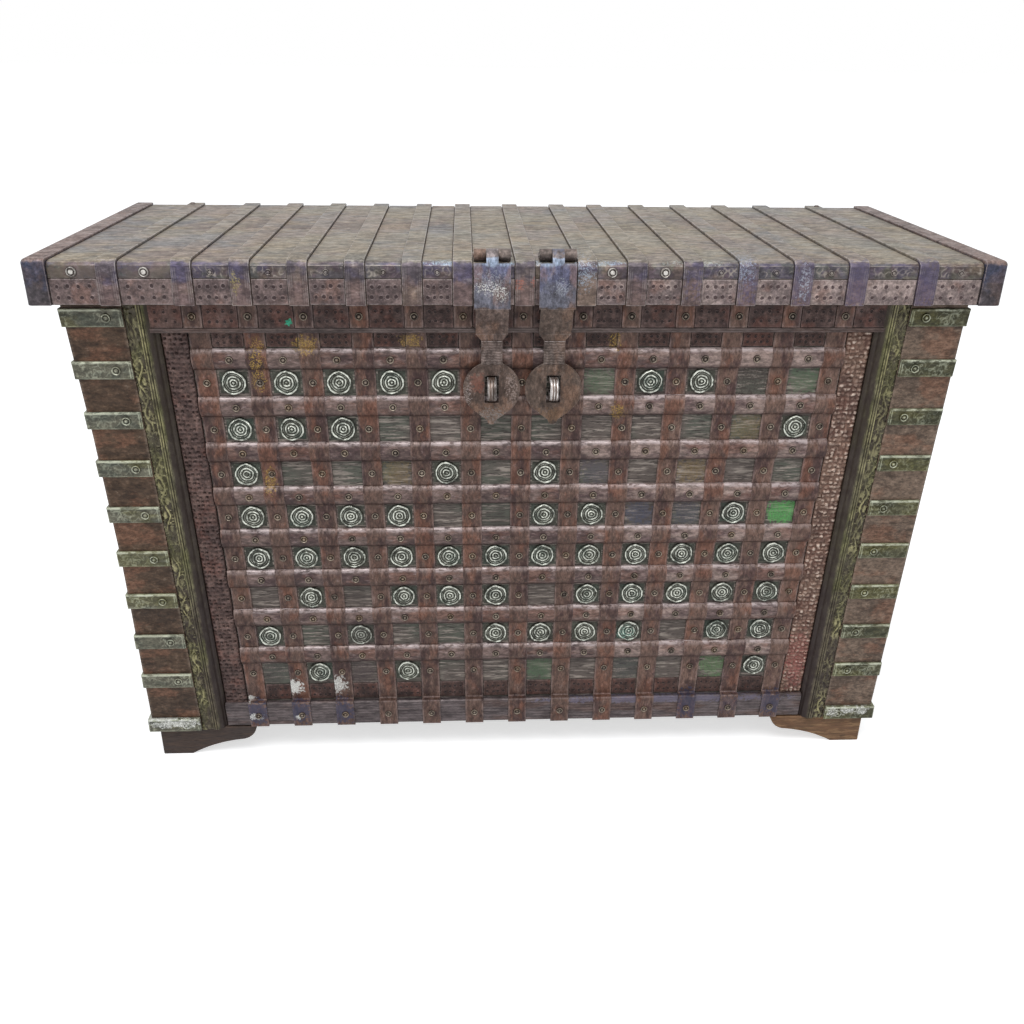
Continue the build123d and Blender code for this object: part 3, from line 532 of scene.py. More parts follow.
lid_strap_iron = metal(
    "lid strap iron", (0.212, 0.178, 0.147), (0.73, 0.74, 0.78), (0.235, 0.175, 0.12), (0.40, 0.36, 0.34),
    rust_amount=0.4, along=(0.6, 1.3, 1), zones=strap_bend, marks=strap_marks,
)
edge_zones = [
    ("Z", 0.9380, 0.9330, (0.046, 0.050, 0.082), 1.0, None),
    ("Z", 0.9150, 0.8900, (0.066, 0.053, 0.054), 0.85, None),
]
edge_iron = metal(
    "edge iron", (0.19, 0.135, 0.12), (0.6, 0.58, 0.58), (0.17, 0.10, 0.075), (0.26, 0.21, 0.21),
    rust_amount=0.25, zones=edge_zones,
)
# The large bosses' crests are rubbed and are also painted very light as a highlight.
boss_iron = metal(
    "boss iron", (0.170, 0.135, 0.115), (0.55, 0.55, 0.58), (0.20, 0.14, 0.10), (0.68, 0.65, 0.60)
)
print("finishes so far:", len(bpy.data.materials))

# %% [markdown]
# ## Paint and cloth on the front
#
# Flakes of ochre and white paint and shreds of dark cloth stay on the iron of the front.  A mark
# reaches much less far in Y than the chest is deep, so none of them shows on the back.

# %% Paint and cloth on the front
paint_white, dark_cloth = (0.72, 0.72, 0.68), (0.035, 0.043, 0.085)


def front_marks(y, tint, rows):
    """Marks of one colour at one depth: (x, z, half width, half height, strength, broken)."""
    made = []
    for x, z, wide, tall, strength, broken in rows:
        made.append(((x, y, z), (wide, 0.1, tall), tint, strength, broken))
    return made


flakes = front_marks(-0.26, ochre, [
    (-0.4247, 0.7733, 0.012, 0.020, 0.75, 1.0),
    (-0.4227, 0.7978, 0.012, 0.014, 0.6, 1.0),
    (-0.4247, 0.7401, 0.012, 0.020, 0.65, 1.0),
    (-0.3467, 0.7977, 0.020, 0.014, 0.8, 0.8),
    (-0.1800, 0.8056, 0.018, 0.012, 0.7, 0.8),
    (-0.4233, 0.5645, 0.010, 0.024, 0.75, 0.9),
    (0.1490, 0.8051, 0.010, 0.018, 0.7, 0.9),
    (0.1589, 0.6862, 0.014, 0.014, 0.7, 0.9),
])
cloth_marks = front_marks(-0.265, dark_cloth, [
    (-0.4932, 0.0930, 0.034, 0.026, 0.85, 0.2),
    (-0.4158, 0.0930, 0.034, 0.024, 0.8, 0.2),
    (-0.3339, 0.0930, 0.034, 0.026, 0.8, 0.2),
    (0.3316, 0.0938, 0.034, 0.030, 0.75, 0.2),
    (0.4120, 0.0938, 0.034, 0.020, 0.4, 0.3),
    (0.4864, 0.0954, 0.034, 0.026, 0.75, 0.2),
])
rail_flakes = front_marks(-0.265, paint_white, [
    (-0.4929, 0.0850, 0.014, 0.007, 0.95, 0.6),
    (-0.4992, 0.1200, 0.007, 0.006, 0.95, 0.3),
    (-0.4120, 0.0820, 0.006, 0.005, 0.9, 0.3),
])
low_flakes = front_marks(-0.26, paint_white, [
    (-0.4176, 0.1430, 0.018, 0.016, 1.0, 0.3),
    (-0.3366, 0.1460, 0.018, 0.018, 1.0, 0.6),
])
band_marks = cloth_marks + rail_flakes + low_flakes
red_lumps = [
    ((0.530, -0.26, 0.197), (0.026, 0.1, 0.050), (0.30, 0.09, 0.08), 0.75, 0.7),
    ((0.531, -0.26, 0.150), (0.020, 0.1, 0.035), (0.28, 0.09, 0.08), 0.6, 0.7),
]
green_dab = [((-0.3684, -0.265, 0.8363), (0.005, 0.1, 0.006), (0.03, 0.42, 0.25), 0.95, 0.3)]
rail_marks = [((0.28, -0.265, 0.1070), (0.24, 0.1, 0.007), (0.16, 0.145, 0.21), 0.7, 0.3)]
print("paint flakes:", len(flakes), "marks on the lower band:", len(band_marks))

# %% [markdown]
# ## The front's iron
#
# The lattice, plates and borders are rusty brown.  The lattice is lighter on the right, where a
# zone along X changes the iron's own colour, and rust and patina lie over both halves in the same
# way.  The top row of plates is painted darker as the shadow of the lid, and the lid's rim plates are
# the same iron painted lighter as a lit copy.  The right border is so much brighter that it has an
# iron of its own.

# %% Front iron
rail_iron = metal(
    "rail iron", (0.088, 0.062, 0.056), (0.55, 0.53, 0.54), (0.11, 0.055, 0.038), (0.25, 0.21, 0.20),
    along=(0.4, 1, 1.8), zones=[("Z", 0.125, 0.115, (0.104, 0.082, 0.084), 1.0, None)], marks=rail_marks,
)
punched_iron = metal(
    "punched iron", (0.086, 0.051, 0.044), (0.5, 0.48, 0.5), (0.118, 0.045, 0.032), (0.23, 0.16, 0.15),
    zones=[
        # The top row of plates, under the lid's edge, is painted darker as the lid's shadow.
        ("Z", 0.82, 0.81, (0.058, 0.029, 0.023), 1.0, None),
        ("X", -0.46, -0.48, (0.112, 0.066, 0.055), 1.0, None),
    ],
    marks=flakes + green_dab,
)
border_iron = metal(
    "border iron", (0.285, 0.175, 0.125), (0.5, 0.45, 0.47), (0.24, 0.11, 0.075), (0.58, 0.46, 0.385),
    marks=red_lumps,
)
# The same iron as the front's plates, painted lighter as a lit copy.
lit_rim_plate_iron = metal(
    "lit rim plate iron", (0.158, 0.113, 0.106), (0.58, 0.57, 0.60), (0.20, 0.11, 0.085), (0.38, 0.32, 0.31),
    zones=[("X", -0.1, 0.35, (0.300, 0.232, 0.213), 1.0, None)],
)
lattice_iron = metal(
    "lattice iron", (0.104, 0.060, 0.046), (0.50, 0.45, 0.53), (0.160, 0.068, 0.042), (0.34, 0.27, 0.255),
    rust_amount=0.65, along=(1.6, 1, 0.7), zones=[("X", 0.0, 0.3, (0.136, 0.080, 0.061), 1.0, None)],
    marks=flakes + band_marks,
)
cushion_iron = metal(
    "cushion iron", (0.152, 0.104, 0.092), (0.46, 0.41, 0.45), (0.155, 0.07, 0.046), (0.48, 0.405, 0.40),
    along=(0.6, 1, 1.4), zones=[("X", 0.0, 0.3, (0.256, 0.187, 0.164), 1.0, None)], marks=flakes,
)
nail_iron = metal(
    "nail iron", (0.095, 0.070, 0.056), (0.5, 0.47, 0.48), (0.15, 0.085, 0.04), (0.40, 0.33, 0.25),
    rust_amount=0.6,
)
print("finishes so far:", len(bpy.data.materials))

# %% [markdown]
# ## Brass, corners and hasps
#
# The rosettes are pale brass with a green rust, and the pilasters a duller one.  The hasps go from
# brown discs to blue-grey plates on the lid, so their zones follow the height as well.  A pale band
# along the bend of each hasp is a painted highlight.

# %% Brass, corner and hasp metals
rosette_stains = [
    ((0.1995, -0.255, 0.2500), (0.017, 0.1, 0.017), (0.28, 0.62, 0.50), 0.42, 0.9),
    ((-0.2880, -0.255, 0.2550), (0.030, 0.1, 0.026), (0.075, 0.070, 0.060), 0.75, 0.5),
    ((-0.1260, -0.255, 0.2585), (0.030, 0.1, 0.026), (0.075, 0.085, 0.065), 0.75, 0.6),
    ((-0.4050, -0.255, 0.1800), (0.030, 0.1, 0.026), (0.085, 0.085, 0.065), 0.6, 0.5),
]
rosette_brass = metal(
    "rosette brass", (0.13, 0.14, 0.105), (0.40, 0.46, 0.46), (0.07, 0.14, 0.11), (0.74, 0.76, 0.67),
    rust_amount=0.45, metallic=0.35, marks=rosette_stains, soil_and_shade=(0.44, 0.28, 0.29),
)
pilaster_brass = metal(
    "pilaster brass", (0.115, 0.103, 0.062), (0.48, 0.46, 0.45), (0.12, 0.125, 0.04), (0.42, 0.38, 0.19),
    along=(1.4, 1, 0.6), zones=[("Z", 0.46, 0.25, (0.082, 0.064, 0.046), 0.9, None)], soil_and_shade=(0.42, 0.27, 0.42),
)
stile_iron = metal(
    "stile iron", (0.158, 0.110, 0.080), (0.55, 0.53, 0.53), (0.185, 0.085, 0.05), (0.28, 0.22, 0.17),
    along=(0.7, 1, 1.3), zones=[("X", 0.1, -0.1, (0.072, 0.042, 0.025), 1.0, None)],
)
base_flakes = front_marks(-0.27, paint_white, [
    (-0.6585, 0.0770, 0.040, 0.0085, 1.0, 0.7),
    (-0.6664, 0.0890, 0.036, 0.0050, 1.0, 0.6),
    (-0.6250, 0.0790, 0.034, 0.0100, 1.0, 0.7),
    (0.6079, 0.0767, 0.014, 0.011, 1.0, 0.8),
    (0.6390, 0.0790, 0.017, 0.009, 1.0, 0.7),
    (0.6640, 0.0800, 0.013, 0.010, 1.0, 0.7),
])
corner_iron = metal(
    "corner iron", (0.106, 0.100, 0.047), (0.52, 0.60, 0.64), (0.175, 0.160, 0.045), (0.55, 0.57, 0.44),
    rust_amount=0.6, along=(0.6, 1, 1.4), zones=[("X", 0.1, -0.1, (0.188, 0.180, 0.128), 1.0, None)],
    marks=base_flakes,
)
hasp_zones = [
    ("X", -0.002, 0.002, (0.108, 0.074, 0.058), 1.0, None),
    ("Z", 0.785, 0.765, (0.092, 0.062, 0.047), 0.6, None),
    ("Z", 0.866, 0.870, (0.132, 0.132, 0.165), 1.0, None),
    ("Z", 0.890, 0.920, (0.118, 0.122, 0.205), 0.85, None),
    # A pale blue band along the bend under the knuckles is a painted highlight.
    ("Z", 0.929, 0.937, (0.34, 0.42, 0.54), 0.8, None),
    ("Z", 0.9425, 0.9455, (0.17, 0.13, 0.115), 0.9, None),
]
hasp_flecks = [
    ((-0.0500, -0.298, 0.9120), (0.030, 0.1, 0.014), (0.36, 0.38, 0.42), 0.45, 1.0),
    ((-0.0540, -0.298, 0.8980), (0.024, 0.1, 0.010), paint_white, 0.7, 1.0),
    ((-0.0360, -0.298, 0.8900), (0.010, 0.1, 0.012), paint_white, 0.6, 1.0),
    ((0.0560, -0.298, 0.9000), (0.012, 0.1, 0.014), (0.38, 0.40, 0.44), 0.6, 1.0),
    ((-0.0721, -0.28, 0.7399), (0.014, 0.1, 0.016), (0.24, 0.09, 0.06), 0.6, 0.4),
    ((-0.0180, -0.28, 0.7300), (0.010, 0.1, 0.026), (0.36, 0.28, 0.25), 0.6, 1.0),
    ((-0.0900, -0.28, 0.7200), (0.008, 0.1, 0.030), (0.36, 0.30, 0.28), 0.6, 1.0),
    ((0.0500, -0.28, 0.6850), (0.026, 0.1, 0.014), (0.22, 0.12, 0.06), 0.5, 0.5),
    ((-0.0500, -0.28, 0.6840), (0.024, 0.1, 0.014), (0.24, 0.235, 0.225), 0.6, 0.8),
    ((0.0500, -0.275, 0.9510), (0.016, 0.02, 0.009), (0.12, 0.13, 0.18), 0.8, 0.3),
]
hasp_iron = metal(
    "hasp iron", (0.138, 0.094, 0.078), (0.60, 0.57, 0.56), (0.20, 0.11, 0.07), (0.36, 0.31, 0.29),
    along=(1.3, 1, 0.8), zones=hasp_zones, marks=hasp_flecks,
)
staple_steel = metal(
    "staple steel", (0.20, 0.165, 0.15), (0.4, 0.38, 0.36), (0.18, 0.12, 0.09), (0.85, 0.82, 0.80),
    metallic=0.5, along=(4, 1, 0.5), zones=[("X", 0.01, -0.01, (0.13, 0.095, 0.08), 1.0, None)],
)
hinge_iron = metal("hinge iron", (0.16, 0.125, 0.11), (0.52, 0.5, 0.5), (0.18, 0.09, 0.05), (0.4, 0.37, 0.35))
print("finishes in all:", len(bpy.data.materials))

# %% [markdown]
# ## Making a piece
#
# Every piece is built in a bmesh, where points can carry values such as wear, and ends in the same
# way: it becomes an object with smooth faces and with sharp edges where faces meet at an angle,
# takes its finish and rides on the body that it belongs to.

# %% Making a piece
def set_value(bm, label, points, value):
    """Writes a number such as wear to some points of a mesh."""
    layer = bm.verts.layers.float.get(label) or bm.verts.layers.float.new(label)
    for point in points:
        point[layer] = value


def make_piece(bm, name, body, material, sharp=38):
    """Turns a finished bmesh into a piece that rides on a body."""
    for label in ("wear_and_highlight", "grime_and_shade"):
        if not (bm.verts.layers.float.get(label) or bm.faces.layers.float.get(label)):
            bm.verts.layers.float.new(label)
    mesh = bpy.data.meshes.new(name)
    bm.to_mesh(mesh)
    bm.free()
    mesh.shade_smooth()
    mesh.set_sharp_from_angle(angle=radians(sharp))
    mesh.materials.append(material)
    piece = bpy.data.objects.new(name, mesh)
    scene.collection.objects.link(piece)
    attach(piece, body)
    return piece


print("piece helpers ready")

# %% [markdown]
# ## Softening the solids
#
# A solid from the construction model has knife-sharp edges, and real strap iron has none.  A copy
# of the solid is merged, its flat faces are made whole, every sharp edge gets a small round, and
# a narrow rim is inset in each face.  The points outside that rim carry wear and those inside
# carry none, so the shader knows where hands have rubbed.

# %% Softening helpers
def solid_copy(name):
    """The solid's mesh with its loose triangles merged into whole faces."""
    bm = bmesh.new()
    bm.from_mesh(nodes[name].data)
    bmesh.ops.remove_doubles(bm, verts=bm.verts[:], dist=1e-5)
    bmesh.ops.dissolve_limit(bm, angle_limit=radians(3), verts=bm.verts[:], edges=bm.edges[:])
    return bm


def rub_edges(bm, rounding, rim, worn):
    """Rounds sharp edges, then insets faces so that only their rims carry wear; with no rim, the
    rounded edges alone carry it."""
    worn_faces = None if rim else bm.faces.layers.float.new("wear_and_highlight")
    sharp = [e for e in bm.edges if e.is_manifold and e.calc_face_angle(0) > radians(30)]
    made = bmesh.ops.bevel(
        bm,
        geom=sharp,
        offset=rounding,
        offset_type="OFFSET",
        segments=2,
        profile=0.5,
        affect="EDGES",
        clamp_overlap=True,
        material=-1,
    )
    rounded = set(made["faces"])
    if not rim:
        for face in rounded:
            face[worn_faces] = worn
        return
    set_value(bm, "wear_and_highlight", bm.verts, worn)
    set_value(bm, "grime_and_shade", bm.verts, 0.0)
    flat = [f for f in bm.faces if f not in rounded and f.calc_area() > 1e-5]
    for share in (1.0, 0.4):  # a narrow face gets a narrower rim
        group = [f for f in flat if 2 * f.calc_area() / f.calc_perimeter() > 1.6 * rim * share]
        flat = [f for f in flat if f not in set(group)]
        if group:
            bmesh.ops.inset_individual(bm, faces=group, thickness=rim * share, use_even_offset=True)
            set_value(bm, "wear_and_highlight", {v for f in group for v in f.verts}, 0.0)


def soften(name, material, rounding=0.0012, rim=0.004, worn=0.7):
    """Replaces a solid by its softened copy."""
    bm = solid_copy(name)
    rub_edges(bm, rounding, rim, worn)
    piece = make_piece(bm, "soft_" + name, nodes[name]["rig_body"], material)
    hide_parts(name)
    return piece


def coat(name, material):
    """Keeps a solid as it is and gives it a finish."""
    nodes[name].data.materials.clear()
    nodes[name].data.materials.append(material)


print("softening helpers ready")

# %% [markdown]
# ## Boards and feet
#
# The walls are built from planks.  Each joint is a shallow groove: three cuts run round the wall,
# and the middle one is pushed in.  Every plank has its own tone.  The front wall only shows in the
# openings of the lattice, so its solid stays as it is, and so do the boards that are hardly seen.
# The feet are softened.  The front right foot was replaced later, in a lighter wood.

# %% Boards and feet
joint_half, joint_deep = 0.0028, 0.0045


def plank(name, material, axis, joints, seed):
    """Cuts joints round a wall at places along an axis, and gives each plank a tone."""
    bm = solid_copy(name)
    rub_edges(bm, rounding=0.0015, rim=0, worn=0.8)
    way = Vector([float(number == axis) for number in range(3)])
    for joint in joints:
        for step in (-joint_half, 0.0, joint_half):
            whole = bm.verts[:] + bm.edges[:] + bm.faces[:]
            bmesh.ops.bisect_plane(bm, geom=whole, dist=1e-6, plane_co=way * (joint + step), plane_no=way)
    bm.normal_update()
    set_value(bm, "grime_and_shade", bm.verts, 0.0)
    pressed = [v for v in bm.verts if any(abs(v.co[axis] - joint) < 1e-5 for joint in joints)]
    moves = [v.normal * joint_deep for v in pressed]
    for point, move in zip(pressed, moves):
        point.co -= move
    set_value(bm, "grime_and_shade", pressed, 1.0)
    tone = bm.faces.layers.float.new("tone")
    dice = Random(seed)
    tones = [dice.uniform(-0.30, 0.22) for _ in range(len(joints) + 1)]
    for face in bm.faces:
        middle = face.calc_center_median()[axis]
        face[tone] = tones[sum(middle > joint for joint in joints)]
    piece = make_piece(bm, "planked_" + name, nodes[name]["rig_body"], material)
    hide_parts(name)


depth_axis, height_axis = 1, 2
plank("back_wall", carcass_wood, height_axis, (0.212, 0.401, 0.545, 0.718), seed=5)
plank("side_wall_left", carcass_wood, height_axis, (0.246, 0.452, 0.653), seed=8)
plank("side_wall_right", carcass_wood, height_axis, (0.225, 0.430, 0.671), seed=12)
plank("lid_boards", lid_wood, depth_axis, (-0.135, 0.028, 0.166), seed=3)
for name in ("front_wall", "floor_board"):
    coat(name, board_wood)
for name in ("lid_rim_front", "lid_rim_back", "lid_rim_left", "lid_rim_right"):
    coat(name, lid_wood)
for name in ("foot_front_left", "foot_back_left", "foot_back_right"):
    soften(name, foot_old, rounding=0.0015, rim=0)
soften("foot_front_right", foot_new, rounding=0.0015, rim=0)
print("boards and feet done")

# %% [markdown]
# ## Straps, rails and lid iron
#
# All strap iron is softened in the same way.  Short loops name the solids that share a finish, so
# a strap can change its finish in one place.

# %% Straps, rails and lid iron
crosses = [f"cross_strap_{row}" for row in range(1, 9)]
uprights = [f"upright_strap_{number:02d}" for number in range(1, 14)]
for name in uprights + ["rail_straps"]:
    soften(name, lattice_iron, rounding=0.0009, rim=0.003, worn=0.3)
for name in ("top_rail", "bottom_rail"):
    soften(name, rail_iron, worn=0.3)
for name in ("stile_left", "stile_right"):
    soften(name, stile_iron, worn=0.35)
soften("lid_sheets", lid_iron, rounding=0.0006, rim=0)
soften("lid_straps", lid_strap_iron, rounding=0.0009, rim=0)
for name in ("lid_edge_iron_left", "lid_edge_iron_right"):
    soften(name, edge_iron, rim=0)
for name in ("hasp_left", "hasp_right"):
    soften(name, hasp_iron, rim=0)
soften("hasp_hinge_leaves", hinge_iron, rim=0)
soften("staples", staple_steel, rim=0)
for name in ("rear_hinge_chest_leaves", "rear_hinge_lid_leaves", "hinge_pins"):
    soften(name, hinge_iron, rounding=0.0006, rim=0.003)
soften("pierced_plates", punched_iron, rounding=0.0006, rim=0.0015, worn=0.4)
soften("lid_rim_plates", lit_rim_plate_iron, rounding=0.0006, rim=0.0015, worn=0.6)
for name in ("corner_straps_left", "corner_straps_right"):
    soften(name, corner_iron, rounding=0.0009, rim=0.003, worn=0.5)

# %% [markdown]
# ## Where the lattice stands
#
# The small relief has to sit on the lattice, so its places are measured on the solids' boxes: the
# pitch of the uprights at any height, the slant that the whole front has, and the levels of the
# cross straps and of the rows between them.

# %% Lattice places
last_low, last_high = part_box("upright_strap_13")
upright_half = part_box("upright_strap_07")[1].x
slant = (last_high.x - upright_half - last_low.x - upright_half) / (last_high.z - last_low.z)
levels = [(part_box(name)[0].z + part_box(name)[1].z) / 2 for name in crosses]
row_step = levels[0] - levels[1]
row_levels = [level - row_step / 2 for level in levels]
wall_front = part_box("front_wall")[0].y


def upright_x(number, level):
    """Middle of an upright, counted from 0 to 12 from the left, at a height."""
    return (number - 6) * (last_low.x + upright_half + slant * (level - last_low.z)) / 6


def slanted(edge_at_top, level, top):
    """X of an edge that leans outwards with height, from its place at the top."""
    return edge_at_top - slant * (top - level)


print("rows at", [round(level, 3) for level in row_levels], "slant", round(slant, 4))

# %% [markdown]
# ## Relief sheets
#
# The cross straps, borders, pilasters and corner straps are hammered or chased from the sheet.
# Each starts as a fine grid.  A function gives, for each point of the grid, how far across and up
# it lies and how far it stands proud, and its wear and grime, into which some sheets also paint
# highlights and shade.  The rim is then drawn back to the wall and closed, so the sheet is a solid again.

# %% Relief sheets
hair = 0.0001  # relief that lies on a face starts this far before it and ends this far behind it


def soft_step(value, low, high):
    """Rises smoothly from 0 at low to 1 at high."""
    share = min(max((value - low) / (high - low), 0.0), 1.0)
    return share * share * (3 - 2 * share)


def lay_grid(bm, columns, rows, shape, back):
    """Adds one chased sheet; shape(across, up), both 0 to 1, gives (x, y, z), its wear with any painted
    highlight and its grime with any painted shade.
    """
    wear_and_highlight, grime_and_shade = (bm.verts.layers.float[label] for label in ("wear_and_highlight", "grime_and_shade"))
    points = bmesh.ops.create_grid(bm, x_segments=columns, y_segments=rows, size=0.5)["verts"]
    for point in points:
        spot, point[wear_and_highlight], point[grime_and_shade] = shape(point.co.x + 0.5, point.co.y + 0.5)
        point.co = spot
    rim = {e for v in points for e in v.link_edges if e.is_boundary}
    drawn = bmesh.ops.extrude_edge_only(bm, edges=list(rim))["geom"]
    for point in [v for v in drawn if isinstance(v, bmesh.types.BMVert)]:
        point.co.y = back
    last = {e for v in drawn if isinstance(v, bmesh.types.BMVert) for e in v.link_edges if e.is_boundary}
    bmesh.ops.holes_fill(bm, edges=list(last), sides=0)


def relief_bmesh():
    """An empty mesh that can take relief sheets."""
    bm = bmesh.new()
    for label in ("wear_and_highlight", "grime_and_shade"):
        bm.verts.layers.float.new(label)
    return bm


def relief_piece(bm, name, body, material, sharp=50):
    """Turns the faces of finished relief outwards and makes it a piece."""
    bmesh.ops.recalc_face_normals(bm, faces=bm.faces[:])
    return make_piece(bm, name, body, material, sharp)


def relief_sheet(name, columns, rows, shape, back, body, material, sharp=50):
    """A piece of a single relief sheet."""
    bm = relief_bmesh()
    lay_grid(bm, columns, rows, shape, back)
    return relief_piece(bm, name, body, material, sharp)


print("relief helpers ready")

# %% [markdown]
# ## Cross straps
#
# A cross strap swells forward like a long cushion, which is an arc across its height.  It was
# hammered by hand, so its face waves and its upper edge, which catches hands, is rubbed.  That edge
# also carries a painted highlight, and the lower edge is painted darker as shade.

# %% Cross straps
cross_low, cross_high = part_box("cross_strap_1")
cross_half = (cross_high.z - cross_low.z) / 2
crest = cross_high.y - cross_low.y
edge_proud = 0.005  # a cross strap's edges stand this far off the wall
bow = (cross_half**2 + (crest - edge_proud) ** 2) / (2 * (crest - edge_proud))


def dents(x, z, size, seed=0.0):
    """Hammer marks: smooth bumps between -1 and 1 of about the given size."""
    return noise.noise(Vector((x / size, z / size, seed)))


def filigree(x, z, size, seed=0.0):
    """Thin crooked lines, 1 on the line and 0 beside it, as on worn chasing."""
    return 1 - soft_step(abs(dents(x, z, size, seed)), 0.02, 0.17)


def cushion(x, z, level):
    """How far a cross strap stands out from the wall."""
    rise = min(abs(z - level), cross_half)
    proud = crest - bow + (bow * bow - rise * rise) ** 0.5
    return proud + 0.0005 * dents(x, z, 0.030) + 0.0003 * dents(x, z, 0.011, 4.0) - 0.0005


def cross_shape(level, reach):
    """The hammered face of one cross strap."""

    def shape(across, up):
        x = (2 * across - 1) * reach
        z = level + (2 * up - 1) * cross_half + 0.0012 * dents(x, 0, 0.040, level * 90)
        # The upper edge is rubbed and also painted lighter as a highlight.
        upper = soft_step(up + 0.06 * dents(x, 0, 0.025, level * 70), 0.78, 0.92)
        wrinkle = 0.0004 * upper * dents(x, z * 3, 0.007, 9.0)
        # The lower edge is painted darker as shade.
        grime_and_shade = 0.75 * soft_step(1 - up, 0.80, 1.0)
        return Vector((x, wall_front - cushion(x, z, level) - wrinkle, z)), 0.8 * upper, grime_and_shade

    return shape


for name, level in zip(crosses, levels):
    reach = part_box(name)[1].x
    strap = relief_sheet(
        "hammered_" + name, 280, 14, cross_shape(level, reach), wall_front,
        "chest", cushion_iron, 70,
    )
    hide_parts(name)
print("cross straps:", len(crosses))

# %% [markdown]
# ## Saddles
#
# At each crossing the upright runs on over the cushion as a thin saddle with a bright line down
# each side.  Straps and saddles share one function for the surface, so a saddle follows every dent
# below it.  Its grid has few columns, so they are moved close to the two edges.

# %% Saddles
saddle_columns = [0.0, 0.06, 0.13, 0.5, 0.87, 0.94, 1.0]


def saddle_shape(number, level):
    """The strip of one upright over one cross strap."""

    def shape(across, up):
        share = saddle_columns[round(across * 6)]
        z = level + (2 * up - 1) * (cross_half + 0.0004)
        x = upright_x(number, z) + (2 * share - 1) * upright_half
        line = 1.0 if share in (0.0, 1.0) else 0.0
        proud = cushion(x, z, level) + 0.0007 + 0.0005 * line
        # The upper part is painted lighter as a highlight and the lower edge darker as shade, as on the cross
        # straps; the side lines are rubbed.
        wear_and_highlight = max(0.25 * line, 0.45 * soft_step(up, 0.70, 0.90))
        return Vector((x, wall_front - proud, z)), wear_and_highlight, 0.4 * soft_step(1 - up, 0.8, 1.0)

    return shape


bm = relief_bmesh()
for level in levels:
    for number in range(13):
        lay_grid(bm, 6, 8, saddle_shape(number, level), wall_front - edge_proud + 0.001)
saddles = relief_piece(bm, "saddles", "chest", lattice_iron, 60)
print("saddles faces:", len(saddles.data.polygons))

# %% [markdown]
# ## Strewing small parts
#
# Hundreds of nails and punched holes are the same small shape, so each is modelled once with a
# few dozen faces and copied to its places inside one mesh.  That keeps the list of pieces short.

# %% Strewing
def strew(name, patterns, places, body, material, sharp=38):
    """Copies small bmeshes, in turn, to many places, each a matrix, in one piece."""
    meshes = []
    for pattern in patterns:
        meshes.append(bpy.data.meshes.new(name + "_pattern"))
        pattern.to_mesh(meshes[-1])
        pattern.free()
    bm = bmesh.new()
    for number, matrix in enumerate(places):
        count = len(bm.verts)
        bm.from_mesh(meshes[number % len(meshes)])
        bm.verts.ensure_lookup_table()
        bmesh.ops.transform(bm, matrix=matrix, verts=bm.verts[count:])
    for mesh in meshes:
        bpy.data.meshes.remove(mesh)
    return make_piece(bm, name, body, material, sharp)


facing_front = Matrix.Rotation(pi / 2, 4, "X")


def on_front(x, y, z, spin=0.0):
    """Stands a shape that was made on the ground plane up against the front."""
    return Matrix.Translation((x, y, z)) @ facing_front @ Matrix.Rotation(spin, 4, "Z")


def turned(profile, steps, crest, pit=None, soil_and_shade=1.0):
    """Spins a profile of (radius, height) points; points above crest are worn, below pit soiled."""
    bm = bmesh.new()
    points = [bm.verts.new((radius, 0, height)) for radius, height in profile]
    edges = [bm.edges.new(pair) for pair in zip(points, points[1:])]
    bmesh.ops.spin(
        bm, geom=points + edges, cent=(0, 0, 0), axis=(0, 0, 1), angle=2 * pi, steps=steps, use_merge=True
    )
    bmesh.ops.remove_doubles(bm, verts=bm.verts[:], dist=1e-6)
    bmesh.ops.recalc_face_normals(bm, faces=bm.faces[:])
    set_value(bm, "wear_and_highlight", bm.verts, 0.0)
    set_value(bm, "wear_and_highlight", [v for v in bm.verts if v.co.z >= crest], 1.0)
    set_value(bm, "grime_and_shade", bm.verts, 0.0)
    if pit is not None:
        set_value(bm, "grime_and_shade", [v for v in bm.verts if v.co.z <= pit], soil_and_shade)
    return bm


print("strewing helpers ready")

# %% [markdown]
# ## Ring nails
#
# Each nail has a low dome in a ring.  One nail holds each cross strap down in every opening, one
# holds each upright in every row, and more sit on the rails and at the inner ends of the corner
# straps.  The profile is spun in ten or twelve steps, which is round enough at this size.

# %% Ring nails
nail_profile = [
    (0, 0.0026), (0.0024, 0.0020), (0.0036, 0.0008), (0.0052, 0.0024), (0.0062, 0.0019), (0.0068, -0.0006),
]
cross_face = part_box("cross_strap_1")[0].y
upright_face = wall_front - 0.003
foot_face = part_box("upright_strap_07")[0].y
foot_nail_level = 0.087


def nail(steps):
    """One ring nail, spun in a number of steps."""
    return turned(nail_profile, steps, crest=0.0022, pit=0.0009)


nail_places = []
for level in levels:
    for column in range(12):
        x = (upright_x(column, level) + upright_x(column + 1, level)) / 2
        nail_places.append(on_front(x, cross_face + 0.0004, level))
for level in row_levels:
    for number in range(13):
        nail_places.append(on_front(upright_x(number, level), upright_face, level))
for number in range(13):
    nail_places.append(on_front(upright_x(number, foot_nail_level), foot_face, foot_nail_level))
strew("lattice_nails", [nail(10)], nail_places, "chest", nail_iron)
print("lattice nails:", len(nail_places))

# %% [markdown]
# ## Loose solids of a node
#
# A node such as the rail straps holds many solids.  Their boxes tell where each one is, so nails
# and punched holes can be set out on them.  The faces are walked from neighbour to neighbour to
# gather each solid.

